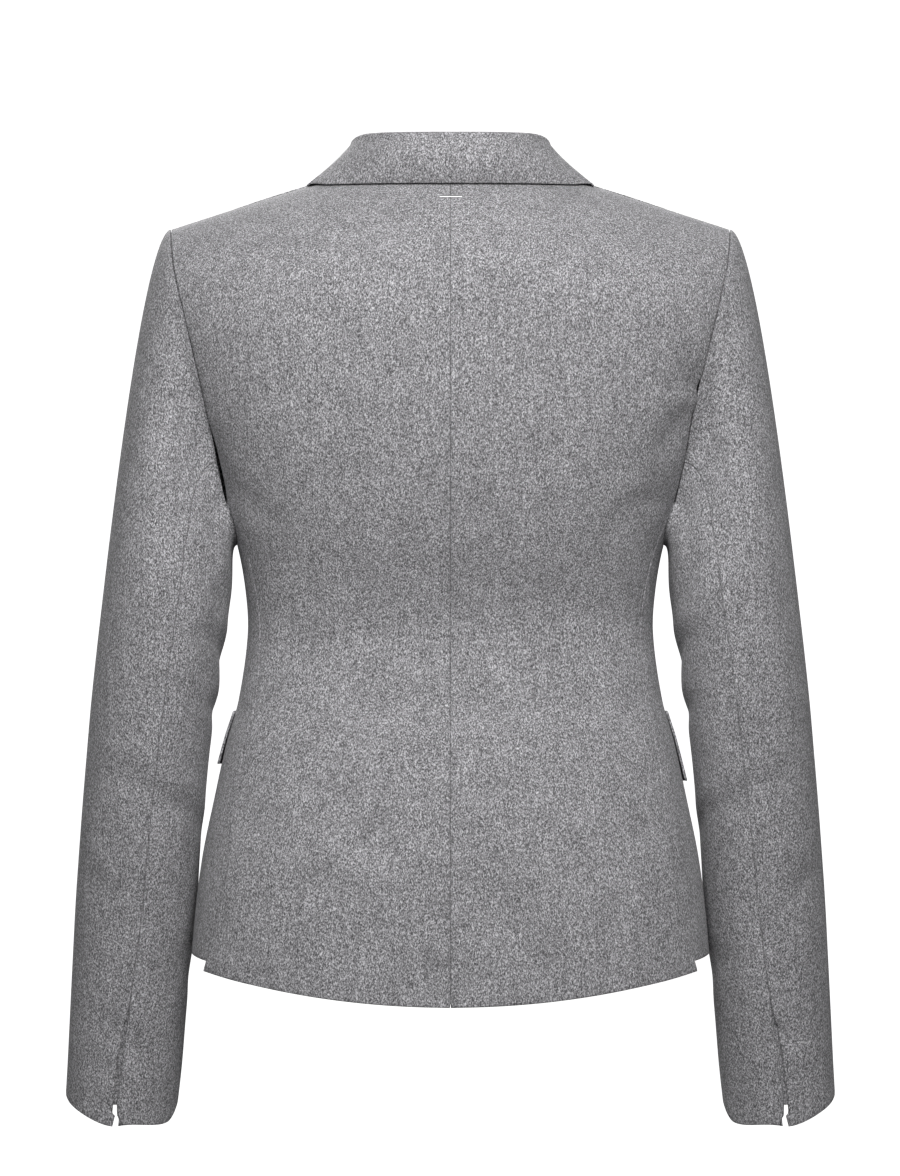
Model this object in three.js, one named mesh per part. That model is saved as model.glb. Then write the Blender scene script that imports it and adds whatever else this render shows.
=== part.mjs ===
// A single breasted blazer, worn form, hollow. Millimetres, +Z up, the front faces -Y.
// The origin is the middle of the neck at the height of the side neck points.
import * as THREE from "three";
import { mergeVertices } from "three/addons/utils/BufferGeometryUtils.js";

// ---- Driving dimensions ----
const CLOTH = 1.8; // thickness of a panel: wool, canvas and lining together
const FACING = 1.6; // thickness of the lapels and flaps
const COLLAR = 2.0; // thickness of the collar
const SEAM = 0.3; // gap between two pieces at a seam
const LEFT = 1;
const RIGHT = -1;

const SIDE_Y = -5; // where the side of the body lies, front to back
const BACK_POWER = 2.5; // squareness of the back half of a section
const FRONT_POWER = 2.3; // squareness of the front half of a section
const BACK_ROUND = 90; // height over which the back rounds over to the shoulder ridge
const FRONT_ROUND = 150; // the same for the front

const SHOULDER = { neckX: 62.5, tipX: 198.5, midX: 105, midZ: -13.2, slope: 0.329, soften: 40 };
const NECK_BACK_Y = 50; // depth of the back neckline at the centre
const OVERLAP = 20; // how far each front passes the centre front
const BREAK_Z = -320; // where the lapel starts to roll
const BUTTON = { z: -338, radius: 10, thick: 3.4 };
// The bar is let in by inset, down to the flat facet that it is sewn to.
const NECK_BAR = { z: -21.4, length: 16, height: 1.4, thick: 1.0, inset: 0.9 };

// Half sections of the body by height: half widths, and depths of centre back and centre front.
const BODY = [
  { z: 40, half: 228, back: 84, front: -78 },
  { z: -45, half: 224, back: 96, front: -98 },
  { z: -100, half: 210.5, back: 103, front: -112 },
  { z: -150, half: 194, back: 104, front: -126 },
  { z: -191, half: 177.5, back: 102, front: -136 },
  { z: -235, half: 162.5, back: 95, front: -140 },
  { z: -267, half: 151.5, back: 86, front: -136 },
  { z: -300, half: 145.5, back: 74, front: -126 },
  { z: -330, half: 144, back: 67, front: -117 },
  { z: -377, half: 150.5, back: 74, front: -116 },
  { z: -405, half: 158.5, back: 84, front: -119 },
  { z: -448, half: 168, back: 95, front: -123 },
  { z: -487, half: 176, back: 101, front: -127 },
  { z: -530, half: 181.5, back: 104, front: -129 },
  { z: -600, half: 187, back: 106, front: -131 },
];

// The armhole edge seen from behind and from the front, and the seams of the side panel below it.
const ARMHOLE = [
  { z: -45, back: 198.5, front: 198.5 },
  { z: -54, back: 198, front: 195.5 },
  { z: -72, back: 195.8, front: 189 },
  { z: -97, back: 190.2, front: 179.5 },
  { z: -124, back: 183.8, front: 171 },
  { z: -153, back: 177.2, front: 165 },
  { z: -182, back: 171, front: 160.5 },
  { z: -209, back: 165.5, front: 157 },
  { z: -235, back: 159.5, front: 152.5 },
];
const UNDERARM = { startZ: -235, lowZ: -267, levelZ: -290 };
const SIDE_SEAMS = [
  { z: -235, back: 159.5 / 162.5, front: 152.5 / 162.5 },
  { z: -290, back: 0.95, front: 0.955 },
  { z: -330, back: 0.935, front: 0.955 },
  { z: -377, back: 0.914, front: 0.955 },
  { z: -420, back: 0.912, front: 0.958 },
  { z: -487, back: 0.88, front: 0.962 },
  { z: -532, back: 0.9, front: 0.965 },
  { z: -575, back: 0.945, front: 0.967 },
];
const LEVELS = [-235, -262, -290, -310, -330, -352, -377, -405, -435, -465, -487, -505, -530, -550];
const HEM = { centreBack: -593, vent: -565, side: -557, power: 1.6, frontSag: 10, ventStep: 2.5 };

// The side vents: the back panel laps over an underlap of the side panel.
const VENT = { liftTop: -462, top: -487, full: -507, underlap: 10, lift: CLOTH + 1.2, near: 26, far: 50 };

// The front edge: how far it lies on its own side of the centre front, below the break.
const FRONT_EDGE = [
  { z: BREAK_Z, past: -OVERLAP },
  { z: -385, past: -OVERLAP },
  { z: -430, past: -15 },
  { z: -470, past: -3 },
  { z: -505, past: 14 },
  { z: -535, past: 36 },
  { z: -556, past: 60 },
  { z: -569, past: 84 },
  { z: -577, past: 112 },
];

// How deep the left front runs under the right one near the centre.
const UNDER_FRONT = [
  { z: -170, depth: 0 },
  { z: -215, depth: 3.5 },
  { z: -245, depth: 8 },
  { z: -325, depth: 8 },
  { z: -370, depth: 3.2 },
  { z: -600, depth: 3.0 },
];
const UNDER_REACH = { full: 24, none: 62 };

// The roll line and the outer edge of the lapel, seen from the front.
const ROLL = { topX: 60, topZ: -30, gorgeZ: -43.5 };
const LAPEL_EDGE = [
  { z: -312, x: -13 },
  { z: -290, x: -1 },
  { z: -250, x: 24 },
  { z: -200, x: 57 },
  { z: -150, x: 90 },
  { z: -112, x: 115 },
  { z: -86, x: 126 },
];
const LAPEL_LIFT = 2.6;

// The collar, one row for each section from the centre back round to the gorge.
const COLLAR_FOLD_RADIUS = 3.1;
const COLLAR_CLEAR = 1.2; // gap under the edge of the fall
const RIDGE_CLEAR = 1.2; // more of it where the fall crosses the shoulder ridge
const COLLAR_FOOT = 0.78; // how far inside the neck seam the stand is set
const COLLAR_ROWS = [
  // seam, seamZ, the fold's x, y and z, the middle of the fall's x, y and z, the edge's x and z
  [0, 0, 0, 55, 22, 0, 65, 6, 0, -13],
  [1, 0, 18.5, 53.5, 22, 21.5, 63, 6, 23.5, -13],
  [2, 0, 35.5, 48, 22, 41.5, 56.5, 6, 46, -13],
  [3, 0, 50.5, 37, 21.8, 59.5, 44, 6, 67.5, -13],
  [4, 0, 61.5, 21, 21, 73.5, 26, 7, 86.5, -13],
  [5, 0.1, 67.5, 2, 18, 82, 3, 5.5, 101, -12.9],
  [6, -3.6, 68.5, -18, 11, 86.5, -25, -2, 108, -24],
  [7, -11, 67, -38, 0, 90, -49, -18, 112, -33],
  [8, -23, 64, -57, -15, 91.5, -67, -40, 114, -42],
  [9, -37.8, 59.5, -73, -36, 92.5, -84, -62, 115, -50],
].map(([seam, seamZ, foldX, foldY, foldZ, midX, midY, midZ, edgeX, edgeZ]) => {
  return { seam, seamZ, foldX, foldY, foldZ, midX, midY, midZ, edgeX, edgeZ };
});

// The sleeve below the bicep: outer and inner edges seen from behind, front-to-back centre and half depth.
const BICEP_Z = -306;
const SLEEVE = [
  { z: -306, outer: 247.3, inner: 156.2, y: -8, depth: 60 },
  { z: -345, outer: 251.8, inner: 162, y: -9, depth: 57 },
  { z: -380, outer: 255.5, inner: 166.6, y: -11, depth: 54 },
  { z: -415, outer: 258.6, inner: 171.2, y: -15, depth: 52 },
  { z: -450, outer: 261.6, inner: 174.6, y: -20, depth: 50 },
  { z: -485, outer: 264.3, inner: 178, y: -25, depth: 48 },
  { z: -520, outer: 266.8, inner: 180.2, y: -31, depth: 46 },
  { z: -560, outer: 269, inner: 184.6, y: -37, depth: 44 },
  { z: -600, outer: 271.1, inner: 188.2, y: -43, depth: 42 },
  { z: -640, outer: 273.2, inner: 191.6, y: -49, depth: 40 },
  { z: -685, outer: 276, inner: 197, y: -56, depth: 38.5 },
];
const SLEEVE_LEVELS = [-345, -385, -430, -475, -520, -570, -620];
const SLEEVE_POWER = 0.94; // how round a section of the sleeve is: 1 is an ellipse
const SLEEVE_SEAMS = { z: -209, backAngle: 101, frontAngle: 256 };
const HEAD_STEPS = [0, 0.05, 0.12, 0.22, 0.36, 0.54, 0.76, 1];

// How the sleeve leaves the armhole: the tilt in degrees, and the pull of its start and end.
const HEAD = { topTilt: 14, underTilt: 90, topPull: 14, sidePull: 24, underPull: 6, endPull: 0.55 };

// The back seam turns outwards towards the cuff, in degrees.
const SEAM_TURN = [
  { z: BICEP_Z, turn: 0 },
  { z: -430, turn: -2 },
  { z: -554, turn: -6 },
  { z: -640, turn: -14 },
  { z: -685, turn: -16 },
];

// The hem of the sleeve by angle from the outer side, in degrees through the back.
const CUFF = [
  { angle: 0, z: -657 },
  { angle: 40, z: -669 },
  { angle: 80, z: -680 },
  { angle: 100, z: -679.5 },
  { angle: 150, z: -678 },
  { angle: 180, z: -664 },
  { angle: 225, z: -655 },
  { angle: 270, z: -651 },
  { angle: 320, z: -652 },
  { angle: 360, z: -657 },
];
const CUFF_SLIT = { topZ: -578, fullZ: -618, width: 1.8, notchZ: -664, hemZ: -680, notch: 4 };

// The hip flaps, from the side panel towards the centre front.
const FLAP = { topZ: -385, left: 38, right: 50, startAngle: 86, endShare: 0.42, clear: 1.0, lift: 1.2 };

// ---- Colours and finishes ----
const WOOL = { color: 0x8a898c, roughness: 0.95, metalness: 0 };
const WOOL_DARK = { color: 0x7f7e81, roughness: 0.95, metalness: 0 };
const HORN = { color: 0x4a474a, roughness: 0.45, metalness: 0 };
const STEEL = { color: 0xb9bbbd, roughness: 0.35, metalness: 1 };

// ---- Small helpers ----
const radians = THREE.MathUtils.degToRad;
const smooth = (value, from, to) => {
  const share = THREE.MathUtils.clamp((value - from) / (to - from), 0, 1);
  return share * share * (3 - 2 * share);
};
const mix = THREE.MathUtils.lerp;
const signedPower = (value, power) => Math.sign(value) * Math.abs(value) ** power;
const steps = (count) => Array.from({ length: count + 1 }, (_, i) => i / count);

// One column of a table at a key value, by a smooth cubic through the rows. The rows run one way.
function read(table, key, name, at) {
  const up = table[1][key] > table[0][key];
  const rows = up ? table : [...table].reverse();
  const last = rows.length - 1;
  if (at <= rows[0][key]) return rows[0][name];
  if (at >= rows[last][key]) return rows[last][name];
  const i = rows.findIndex((row) => row[key] > at) - 1;
  const slope = (a, b) => (rows[b][name] - rows[a][name]) / (rows[b][key] - rows[a][key]);
  const tangent = (j) => slope(Math.max(j - 1, 0), Math.min(j + 1, last));
  const gap = rows[i + 1][key] - rows[i][key];
  const t = (at - rows[i][key]) / gap;
  const value = mix(rows[i][name], rows[i + 1][name], 3 * t ** 2 - 2 * t ** 3);
  return value + gap * (tangent(i) * (t ** 3 - 2 * t ** 2 + t) + tangent(i + 1) * (t ** 3 - t ** 2));
}

// ---- The body as one surface: an angle from centre back (0) to centre front (PI), and a height ----
const ridgeZ = (x) => {
  const far = Math.hypot(SHOULDER.midX, SHOULDER.soften);
  return SHOULDER.midZ - SHOULDER.slope * (Math.hypot(x, SHOULDER.soften) - far);
};
const halfWidth = (z) => read(BODY, "z", "half", z);
const isBack = (angle) => Math.cos(angle) > 0;

function body(side, angle, z) {
  const power = 2 / (isBack(angle) ? BACK_POWER : FRONT_POWER);
  const x = halfWidth(z) * signedPower(Math.sin(angle), power);
  const centreY = read(BODY, "z", isBack(angle) ? "back" : "front", z);
  const full = SIDE_Y + (centreY - SIDE_Y) * Math.abs(Math.cos(angle)) ** power;
  const round = isBack(angle) ? BACK_ROUND : FRONT_ROUND;
  const below = THREE.MathUtils.clamp((ridgeZ(x) - z) / round, 0, 1);
  const y = SIDE_Y + (full - SIDE_Y) * Math.sqrt(1 - (1 - below) ** 2);
  return new THREE.Vector3(side * x, y, z);
}

// The angle at which the body is x wide at a height, on its back or front half.
function angleAt(x, z, back) {
  const power = (back ? BACK_POWER : FRONT_POWER) / 2;
  const turn = Math.asin(THREE.MathUtils.clamp(signedPower(x / halfWidth(z), power), -1, 1));
  return back ? turn : Math.PI - turn;
}

function bodyNormal(side, angle, z) {
  const here = body(side, angle, z);
  if (ridgeZ(here.x) - z < 0.05) {
    const fall = (SHOULDER.slope * here.x) / Math.hypot(here.x, SHOULDER.soften);
    return new THREE.Vector3(fall, 0, 1).normalize();
  }
  const small = 0.004;
  const along = body(side, angle + small, z).sub(body(side, angle - small, z));
  const rise = Math.min(0.4, (ridgeZ(here.x) - z) / 2);
  const up = body(side, angle, z + rise).sub(body(side, angle, z - rise));
  return new THREE.Vector3().crossVectors(up, along).multiplyScalar(side).normalize();
}

const at = (side, angle, z, out = 0) => {
  const normal = bodyNormal(side, angle, z);
  return { p: body(side, angle, z).addScaledVector(normal, out), n: normal };
};
const seenAt = (side, x, z, back, out = 0) => at(side, angleAt(x, z, back), z, out);

// ---- Walls ----
// Moves the border points of a grid inwards along the cloth: [first row, last row, first and last column].
function trim(grid, top, bottom, start, end) {
  const moved = grid.map((row) => row.map(({ p, n }) => ({ p: p.clone(), n })));
  const pull = (point, towards, by) => point.addScaledVector(towards.clone().sub(point).normalize(), by);
  const lastRow = grid.length - 1;
  const lastColumn = grid[0].length - 1;
  for (let j = 0; j <= lastRow; j++) {
    pull(moved[j][0].p, grid[j][1].p, start);
    pull(moved[j][lastColumn].p, grid[j][lastColumn - 1].p, end);
  }
  for (let i = 0; i <= lastColumn; i++) {
    pull(moved[0][i].p, grid[1][i].p, top);
    pull(moved[lastRow][i].p, grid[lastRow - 1][i].p, bottom);
  }
  return moved;
}

// Gives a grid of bare points its normals. flip turns them to the other face.
function withNormals(points, flip = 1) {
  const rows = points.length - 1;
  const columns = points[0].length - 1;
  return points.map((row, j) =>
    row.map((p, i) => {
      const down = points[Math.min(j + 1, rows)][i].clone().sub(points[Math.max(j - 1, 0)][i]);
      const across = points[j][Math.min(i + 1, columns)].clone().sub(points[j][Math.max(i - 1, 0)]);
      return { p, n: new THREE.Vector3().crossVectors(down, across).multiplyScalar(flip).normalize() };
    }),
  );
}

// A closed wall: the grid is its outer face, and the inner face lies a thickness behind it.
function wall(grid, thickness) {
  const rows = grid.length;
  const columns = grid[0].length;
  const outer = grid.flat().map(({ p }) => p);
  const inner = grid.flat().map(({ p, n }) => p.clone().addScaledVector(n, -thickness));
  const points = [...outer, ...inner];
  const front = (j, i) => j * columns + i;
  const behind = (j, i) => rows * columns + j * columns + i;
  const faces = [];
  const quad = (a, b, c, d) => faces.push(a, b, c, a, c, d);
  for (let j = 0; j < rows - 1; j++) {
    for (let i = 0; i < columns - 1; i++) {
      quad(front(j, i), front(j + 1, i), front(j + 1, i + 1), front(j, i + 1));
      quad(behind(j, i), behind(j, i + 1), behind(j + 1, i + 1), behind(j + 1, i));
    }
    quad(front(j, 0), behind(j, 0), behind(j + 1, 0), front(j + 1, 0));
    const end = columns - 1;
    quad(front(j, end), front(j + 1, end), behind(j + 1, end), behind(j, end));
  }
  for (let i = 0; i < columns - 1; i++) {
    quad(front(0, i), front(0, i + 1), behind(0, i + 1), behind(0, i));
    const end = rows - 1;
    quad(front(end, i), behind(end, i), behind(end, i + 1), front(end, i + 1));
  }
  // The first quad shows which way the grid winds.
  const winding = new THREE.Vector3().crossVectors(
    points[front(1, 0)].clone().sub(points[0]),
    points[front(1, 1)].clone().sub(points[0]),
  );
  if (winding.dot(grid[0][0].n) < 0) faces.reverse();
  const geometry = new THREE.BufferGeometry().setFromPoints(points);
  geometry.setIndex(faces);
  geometry.computeVertexNormals();
  return geometry;
}

// ---- Borders of the panels ----
const armhole = (z, back) => angleAt(read(ARMHOLE, "z", back ? "back" : "front", z), z, back);
const sideSeam = (z, back) => {
  const share = read(SIDE_SEAMS, "z", back ? "back" : "front", z);
  return angleAt(share * halfWidth(z), z, back);
};
const ARMHOLE_LEVELS = ARMHOLE.map((row) => row.z);

// A point of the neckline on the back, by its turn round the neck from centre back (0) to the side (1).
function neckBack(turn) {
  const x = SHOULDER.neckX * Math.sin((turn * Math.PI) / 2);
  const y = SIDE_Y + (NECK_BACK_Y - SIDE_Y) * Math.cos((turn * Math.PI) / 2);
  let z = ridgeZ(x);
  for (let pass = 0; pass < 12; pass++) {
    const angle = angleAt(x, z, true);
    const full = read(BODY, "z", "back", z) - SIDE_Y;
    const reach = (y - SIDE_Y) / (full * Math.cos(angle) ** (2 / BACK_POWER));
    z = ridgeZ(x) - BACK_ROUND * (1 - Math.sqrt(1 - Math.min(reach, 1) ** 2));
  }
  return { angle: angleAt(x, z, true), z };
}

// The neck and roll line of a front, seen from the front, by height.
function rollX(z) {
  const slope = (ROLL.topX + OVERLAP) / (ROLL.topZ - BREAK_Z);
  if (z < ROLL.topZ) return ROLL.topX + (z - ROLL.topZ) * slope;
  const share = (z - ROLL.topZ) / (ridgeZ(SHOULDER.neckX) - ROLL.topZ);
  return mix(ROLL.topX, SHOULDER.neckX, Math.sin((share * Math.PI) / 2));
}
const frontBorder = (z) =>
  angleAt(z > BREAK_Z ? rollX(z) : read(FRONT_EDGE, "z", "past", z), z, false);

const backHemZ = (angle) => mix(HEM.centreBack, HEM.vent, Math.sin(angle) ** HEM.power);

// The top of the side panel dips under the arm between its two seams.
const underarmZ = (share) =>
  mix(UNDERARM.startZ, UNDERARM.lowZ, Math.sqrt(1 - (2 * share - 1) ** 2));

// ---- Panels ----
const NECK_COLUMNS = 5;
const SHOULDER_COLUMNS = 6;

function backGrid(side) {
  const columns = NECK_COLUMNS + SHOULDER_COLUMNS;
  const shares = steps(columns);
  const top = shares.map((_, i) => {
    if (i <= NECK_COLUMNS) return neckBack(i / NECK_COLUMNS);
    const x = mix(SHOULDER.neckX, SHOULDER.tipX, (i - NECK_COLUMNS) / SHOULDER_COLUMNS);
    return { angle: angleAt(x, ridgeZ(x), true), z: ridgeZ(x) };
  });
  const rows = ARMHOLE_LEVELS.map((z, j) => {
    const down = j / (ARMHOLE_LEVELS.length - 1);
    return shares.map((share, i) => {
      if (j === 0) return at(side, top[i].angle, top[i].z);
      const edge = armhole(z, true);
      const centreZ = mix(top[0].z, UNDERARM.startZ, down);
      const low = armhole(UNDERARM.startZ, true) * share;
      const straightZ = mix(mix(top[0].z, top[columns].z, share), UNDERARM.startZ, down);
      const height = mix(top[i].z, UNDERARM.startZ, down) + mix(centreZ, z, share) - straightZ;
      const straightAngle = mix(top[columns].angle * share, low, down);
      const angle = mix(top[i].angle, low, down) + edge * share - straightAngle;
      return at(side, angle, height);
    });
  });
  for (const level of [...LEVELS.slice(1), null]) {
    rows.push(
      shares.map((share) => {
        const z = level ?? backHemZ(sideSeam(HEM.vent, true) * share);
        const edge = sideSeam(z, true);
        const fromEdge = Math.abs(body(side, edge, z).x - body(side, edge * share, z).x);
        const lift = smooth(-z, -VENT.liftTop, -VENT.top) * smooth(-fromEdge, -VENT.far, -VENT.near);
        return at(side, edge * share, z, VENT.lift * lift);
      }),
    );
  }
  return trim(rows, SEAM / 2, 0, SEAM / 2, SEAM / 2);
}

function sideGrid(side) {
  const shares = steps(6);
  const rows = [];
  for (const level of [...LEVELS, null]) {
    rows.push(
      shares.map((share) => {
        const down = level && (UNDERARM.startZ - level) / (UNDERARM.startZ - UNDERARM.levelZ);
        const upper = level !== null && level > UNDERARM.levelZ;
        const bend = upper ? mix(underarmZ(share), UNDERARM.levelZ, down) : level;
        const z = bend ?? mix(HEM.vent + HEM.ventStep, HEM.side, smooth(share, 0, 0.7));
        const under = VENT.underlap * smooth(-z, -VENT.top, -VENT.full);
        const seamX = read(SIDE_SEAMS, "z", "back", z) * halfWidth(z) - under;
        const from = angleAt(seamX, z, true);
        return at(side, mix(from, sideSeam(z, false), share), z);
      }),
    );
  }
  return trim(rows, SEAM / 2, 0, SEAM / 2, SEAM / 2);
}

// Heights of the inner border of a front, row by row, against the levels of its outer border.
const FRONT_COLUMNS = 9;
const FRONT_BORDER_TOP = [0, -9, -30, -60, -95, -130, -165, -200, -232];
const FRONT_BORDER_MIDDLE = [-262, -290, -312, -330];

// How far the left front is pushed in under the right one.
function underDepth(side, x, z) {
  if (side === RIGHT) return 0;
  return read(UNDER_FRONT, "z", "depth", z) * smooth(-x, -UNDER_REACH.none, -UNDER_REACH.full);
}
const frontAt = (side, angle, z, out = 0) => {
  const x = body(side, angle, z).x * side;
  return at(side, angle, z, out - underDepth(side, x, z));
};

function frontGrid(side) {
  const shares = steps(FRONT_COLUMNS);
  const top = shares.map((share) => {
    const x = mix(SHOULDER.neckX, SHOULDER.tipX, share);
    return { angle: angleAt(x, ridgeZ(x), false), z: ridgeZ(x) };
  });
  const neck = top[0];
  const tip = top[FRONT_COLUMNS];
  const rows = FRONT_BORDER_TOP.map((borderZ, j) =>
    shares.map((share, i) => {
      if (j === 0) return frontAt(side, top[i].angle, top[i].z);
      const fade = (1 - smooth(j / (ARMHOLE_LEVELS.length - 1), -0.6, 1)) ** 1.5;
      const outerZ = ARMHOLE_LEVELS[j];
      const angle = mix(frontBorder(borderZ), armhole(outerZ, false), share);
      const bend = (top[i].angle - mix(neck.angle, tip.angle, share)) * fade;
      const rise = (top[i].z - mix(neck.z, tip.z, share)) * fade;
      return frontAt(side, angle + bend, mix(borderZ, outerZ, share) + rise);
    }),
  );
  FRONT_BORDER_MIDDLE.forEach((borderZ, j) => {
    const outerZ = LEVELS[j + 1];
    rows.push(
      shares.map((share) => {
        const angle = mix(frontBorder(borderZ), sideSeam(outerZ, false), share);
        return frontAt(side, angle, mix(borderZ, outerZ, share));
      }),
    );
  });
  const corner = FRONT_EDGE[FRONT_EDGE.length - 1].z;
  for (const level of [...LEVELS.slice(5), null]) {
    rows.push(
      shares.map((share) => {
        const down = level ? (LEVELS[4] - level) / (LEVELS[4] - HEM.side) : 1;
        const innerZ = mix(LEVELS[4], corner, down ** 0.97);
        const outerZ = level ?? HEM.side;
        const angle = mix(frontBorder(innerZ), sideSeam(outerZ, false), share);
        const sag = (1 - share) * share * HEM.frontSag * down ** 3;
        return frontAt(side, angle, mix(innerZ, outerZ, share) - sag);
      }),
    );
  }
  return trim(rows, SEAM / 2, 0, 0, SEAM / 2);
}

// ---- Lapels: the turned-back fronts, made from the points of the fronts and moved out ----
const LAPEL_ACROSS = [0.06, 0.2, 0.4, 0.6, 0.8, 1];

function lapelGrid(side) {
  const out = SEAM + FACING;
  const lowZ = LAPEL_EDGE[0].z;
  const rows = steps(10).map((up) => {
    const innerZ = mix(lowZ - 3, ROLL.gorgeZ, up);
    const tipRow = LAPEL_EDGE[LAPEL_EDGE.length - 1];
    const outerZ = mix(lowZ, tipRow.z, up);
    const inner = { x: rollX(innerZ), z: innerZ };
    const outer = { x: read(LAPEL_EDGE, "z", "x", outerZ), z: outerZ };
    const lift = mix(0.4, LAPEL_LIFT, smooth(up, 0.1, 0.5));
    const border = frontAt(side, frontBorder(innerZ), innerZ);
    const away = new THREE.Vector3(-side, 0, 0).projectOnPlane(border.n).normalize();
    const wrap = [
      border.p.clone().addScaledVector(away, out).addScaledVector(border.n, -CLOTH),
      border.p.clone().addScaledVector(away, out).addScaledVector(border.n, 0.5 * out),
      border.p.clone().addScaledVector(away, out * 0.55).addScaledVector(border.n, out + 0.5 * lift),
    ];
    const flat = LAPEL_ACROSS.map((share) => {
      const x = mix(inner.x, outer.x, share);
      const z = mix(inner.z, outer.z, share);
      const height = out + lift * (1 - share) ** 1.5 + 0.25 * Math.sin(Math.PI * share);
      return frontAt(side, angleAt(x, z, false), z, height).p;
    });
    return [...wrap, ...flat];
  });
  return withNormals(rows, side);
}

// ---- Collar: stand, fold and fall in one folded wall ----
const FOLD_TURNS = [180, 135, 90, 45, 0];
const STAND_SHARES = [0, 0.35, 0.7];
const FALL_SHARES = [0.25, 0.5, 0.75, 1];

const COLLAR_STATIONS = [0, 1, 2, 3, 4, 4.5, 5, 5.5, 6, 6.5, 7, 7.5, 8, 8.5, 9];

function collarSeam(side, k) {
  if (k <= NECK_COLUMNS) {
    const { angle, z } = neckBack(k / NECK_COLUMNS);
    return at(side, angle, z);
  }
  const z = read(COLLAR_ROWS, "seam", "seamZ", k);
  return frontAt(side, frontBorder(z), z);
}

const NECK_CENTRE = new THREE.Vector3(0, -20, 0);

function collarSection(side, k) {
  const value = (name, station = k) => read(COLLAR_ROWS, "seam", name, station);
  const foldAt = (station) =>
    new THREE.Vector3(side * value("foldX", station), value("foldY", station), value("foldZ", station));
  const seam = collarSeam(side, k);
  const fold = foldAt(k);
  const along = k === 0 ? new THREE.Vector3(side, 0, 0) : foldAt(k + 0.5).sub(foldAt(k - 0.5)).normalize();
  const clear = COLLAR_CLEAR + RIDGE_CLEAR * smooth(1.5 - Math.abs(k - NECK_COLUMNS), 0, 1);
  const edge = seenAt(side, value("edgeX"), value("edgeZ"), k <= NECK_COLUMNS, clear + COLLAR);
  const mid = new THREE.Vector3(side * value("midX"), value("midY"), value("midZ"));
  const across = k <= NECK_COLUMNS ? mid.clone().sub(fold) : edge.p.clone().sub(seam.p);
  const outward = across.projectOnPlane(along).normalize();
  const upward = new THREE.Vector3().crossVectors(outward, along).normalize();
  if (upward.dot(seam.n) < 0) upward.negate();
  const upright = new THREE.Vector3(0, 0, 1).projectOnPlane(along).normalize();
  upward.lerp(upright, 1 - smooth(k, 6, 9)).normalize();
  outward.projectOnPlane(upward).normalize();
  const onFold = FOLD_TURNS.map((turn) =>
    fold
      .clone()
      .addScaledVector(outward, COLLAR_FOLD_RADIUS * Math.cos(radians(turn)))
      .addScaledVector(upward, COLLAR_FOLD_RADIUS * Math.sin(radians(turn))),
  );
  const root = seam.p.clone().addScaledVector(seam.n, -COLLAR);
  const rise = onFold[0].clone().sub(root).normalize();
  const before = collarSeam(side, Math.max(k - 0.1, 0)).p;
  const into = collarSeam(side, Math.min(k + 0.1, 9)).p.sub(before).cross(seam.n).normalize();
  if (into.dot(NECK_CENTRE.clone().sub(seam.p).setZ(0)) < 0) into.negate();
  const lean = Math.sqrt(1 - Math.min(1, into.dot(rise) ** 2));
  root.addScaledVector(into, COLLAR_FOOT + COLLAR * lean);
  const stand = STAND_SHARES.map((share) => root.clone().lerp(onFold[0], share));
  const foldEnd = onFold[FOLD_TURNS.length - 1];
  const fall = FALL_SHARES.map((share) =>
    share <= 0.5 ? foldEnd.clone().lerp(mid, share / 0.5) : mid.clone().lerp(edge.p, share / 0.5 - 1),
  );
  return [...stand, ...onFold, ...fall];
}

function collarGrid() {
  const half = (side) => COLLAR_STATIONS.map((k) => collarSection(side, k));
  return withNormals([...half(RIGHT).slice(1).reverse(), ...half(LEFT)]);
}

// ---- Sleeves ----
// The armhole as a ring of stations from the shoulder tip down the back, under the arm and up the front.
function stations(side) {
  const below = ARMHOLE_LEVELS.slice(1);
  const back = [tipStation(side), ...below.map((z) => at(side, armhole(z, true), z))];
  const front = below.map((z) => at(side, armhole(z, false), z));
  const under = sideGridTop(side).slice(1, -1);
  const ring = [...back, ...under, ...front.reverse()];
  return ring.map((station, i) => {
    const next = ring[(i + 1) % ring.length].p;
    const previous = ring[(i + ring.length - 1) % ring.length].p;
    const along = next.clone().sub(previous).projectOnPlane(station.n).normalize();
    const into = new THREE.Vector3().crossVectors(along, station.n).multiplyScalar(side).normalize();
    return { ...station, into };
  });
}
const tipStation = (side) => {
  const z = ridgeZ(SHOULDER.tipX);
  return at(side, angleAt(SHOULDER.tipX, z, true), z);
};
const sideGridTop = (side) =>
  steps(6).map((share) => {
    const z = underarmZ(share);
    return at(side, mix(sideSeam(z, true), sideSeam(z, false), share), z);
  });

const BACK_SEAM = ARMHOLE_LEVELS.indexOf(SLEEVE_SEAMS.z);
const UNDER_POINT = ARMHOLE_LEVELS.length + 2;
const RING = 2 * ARMHOLE_LEVELS.length - 1 + 5;
const FRONT_SEAM = RING - BACK_SEAM;

// The angle round the sleeve of each station, by its distance along the armhole.
function stationAngles(ring) {
  const marks = [
    [0, 0],
    [BACK_SEAM, SLEEVE_SEAMS.backAngle],
    [UNDER_POINT, 180],
    [FRONT_SEAM, SLEEVE_SEAMS.frontAngle],
    [RING, 360],
  ];
  const lengths = [0];
  for (let i = 1; i <= RING; i++) {
    lengths.push(lengths[i - 1] + ring[i % RING].p.distanceTo(ring[i - 1].p));
  }
  return lengths.map((length, i) => {
    const span = marks.findIndex(([end], m) => m > 0 && i <= end);
    const [from, fromAngle] = marks[span - 1];
    const [to, toAngle] = marks[span];
    return mix(fromAngle, toAngle, (length - lengths[from]) / (lengths[to] - lengths[from]));
  });
}

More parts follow.
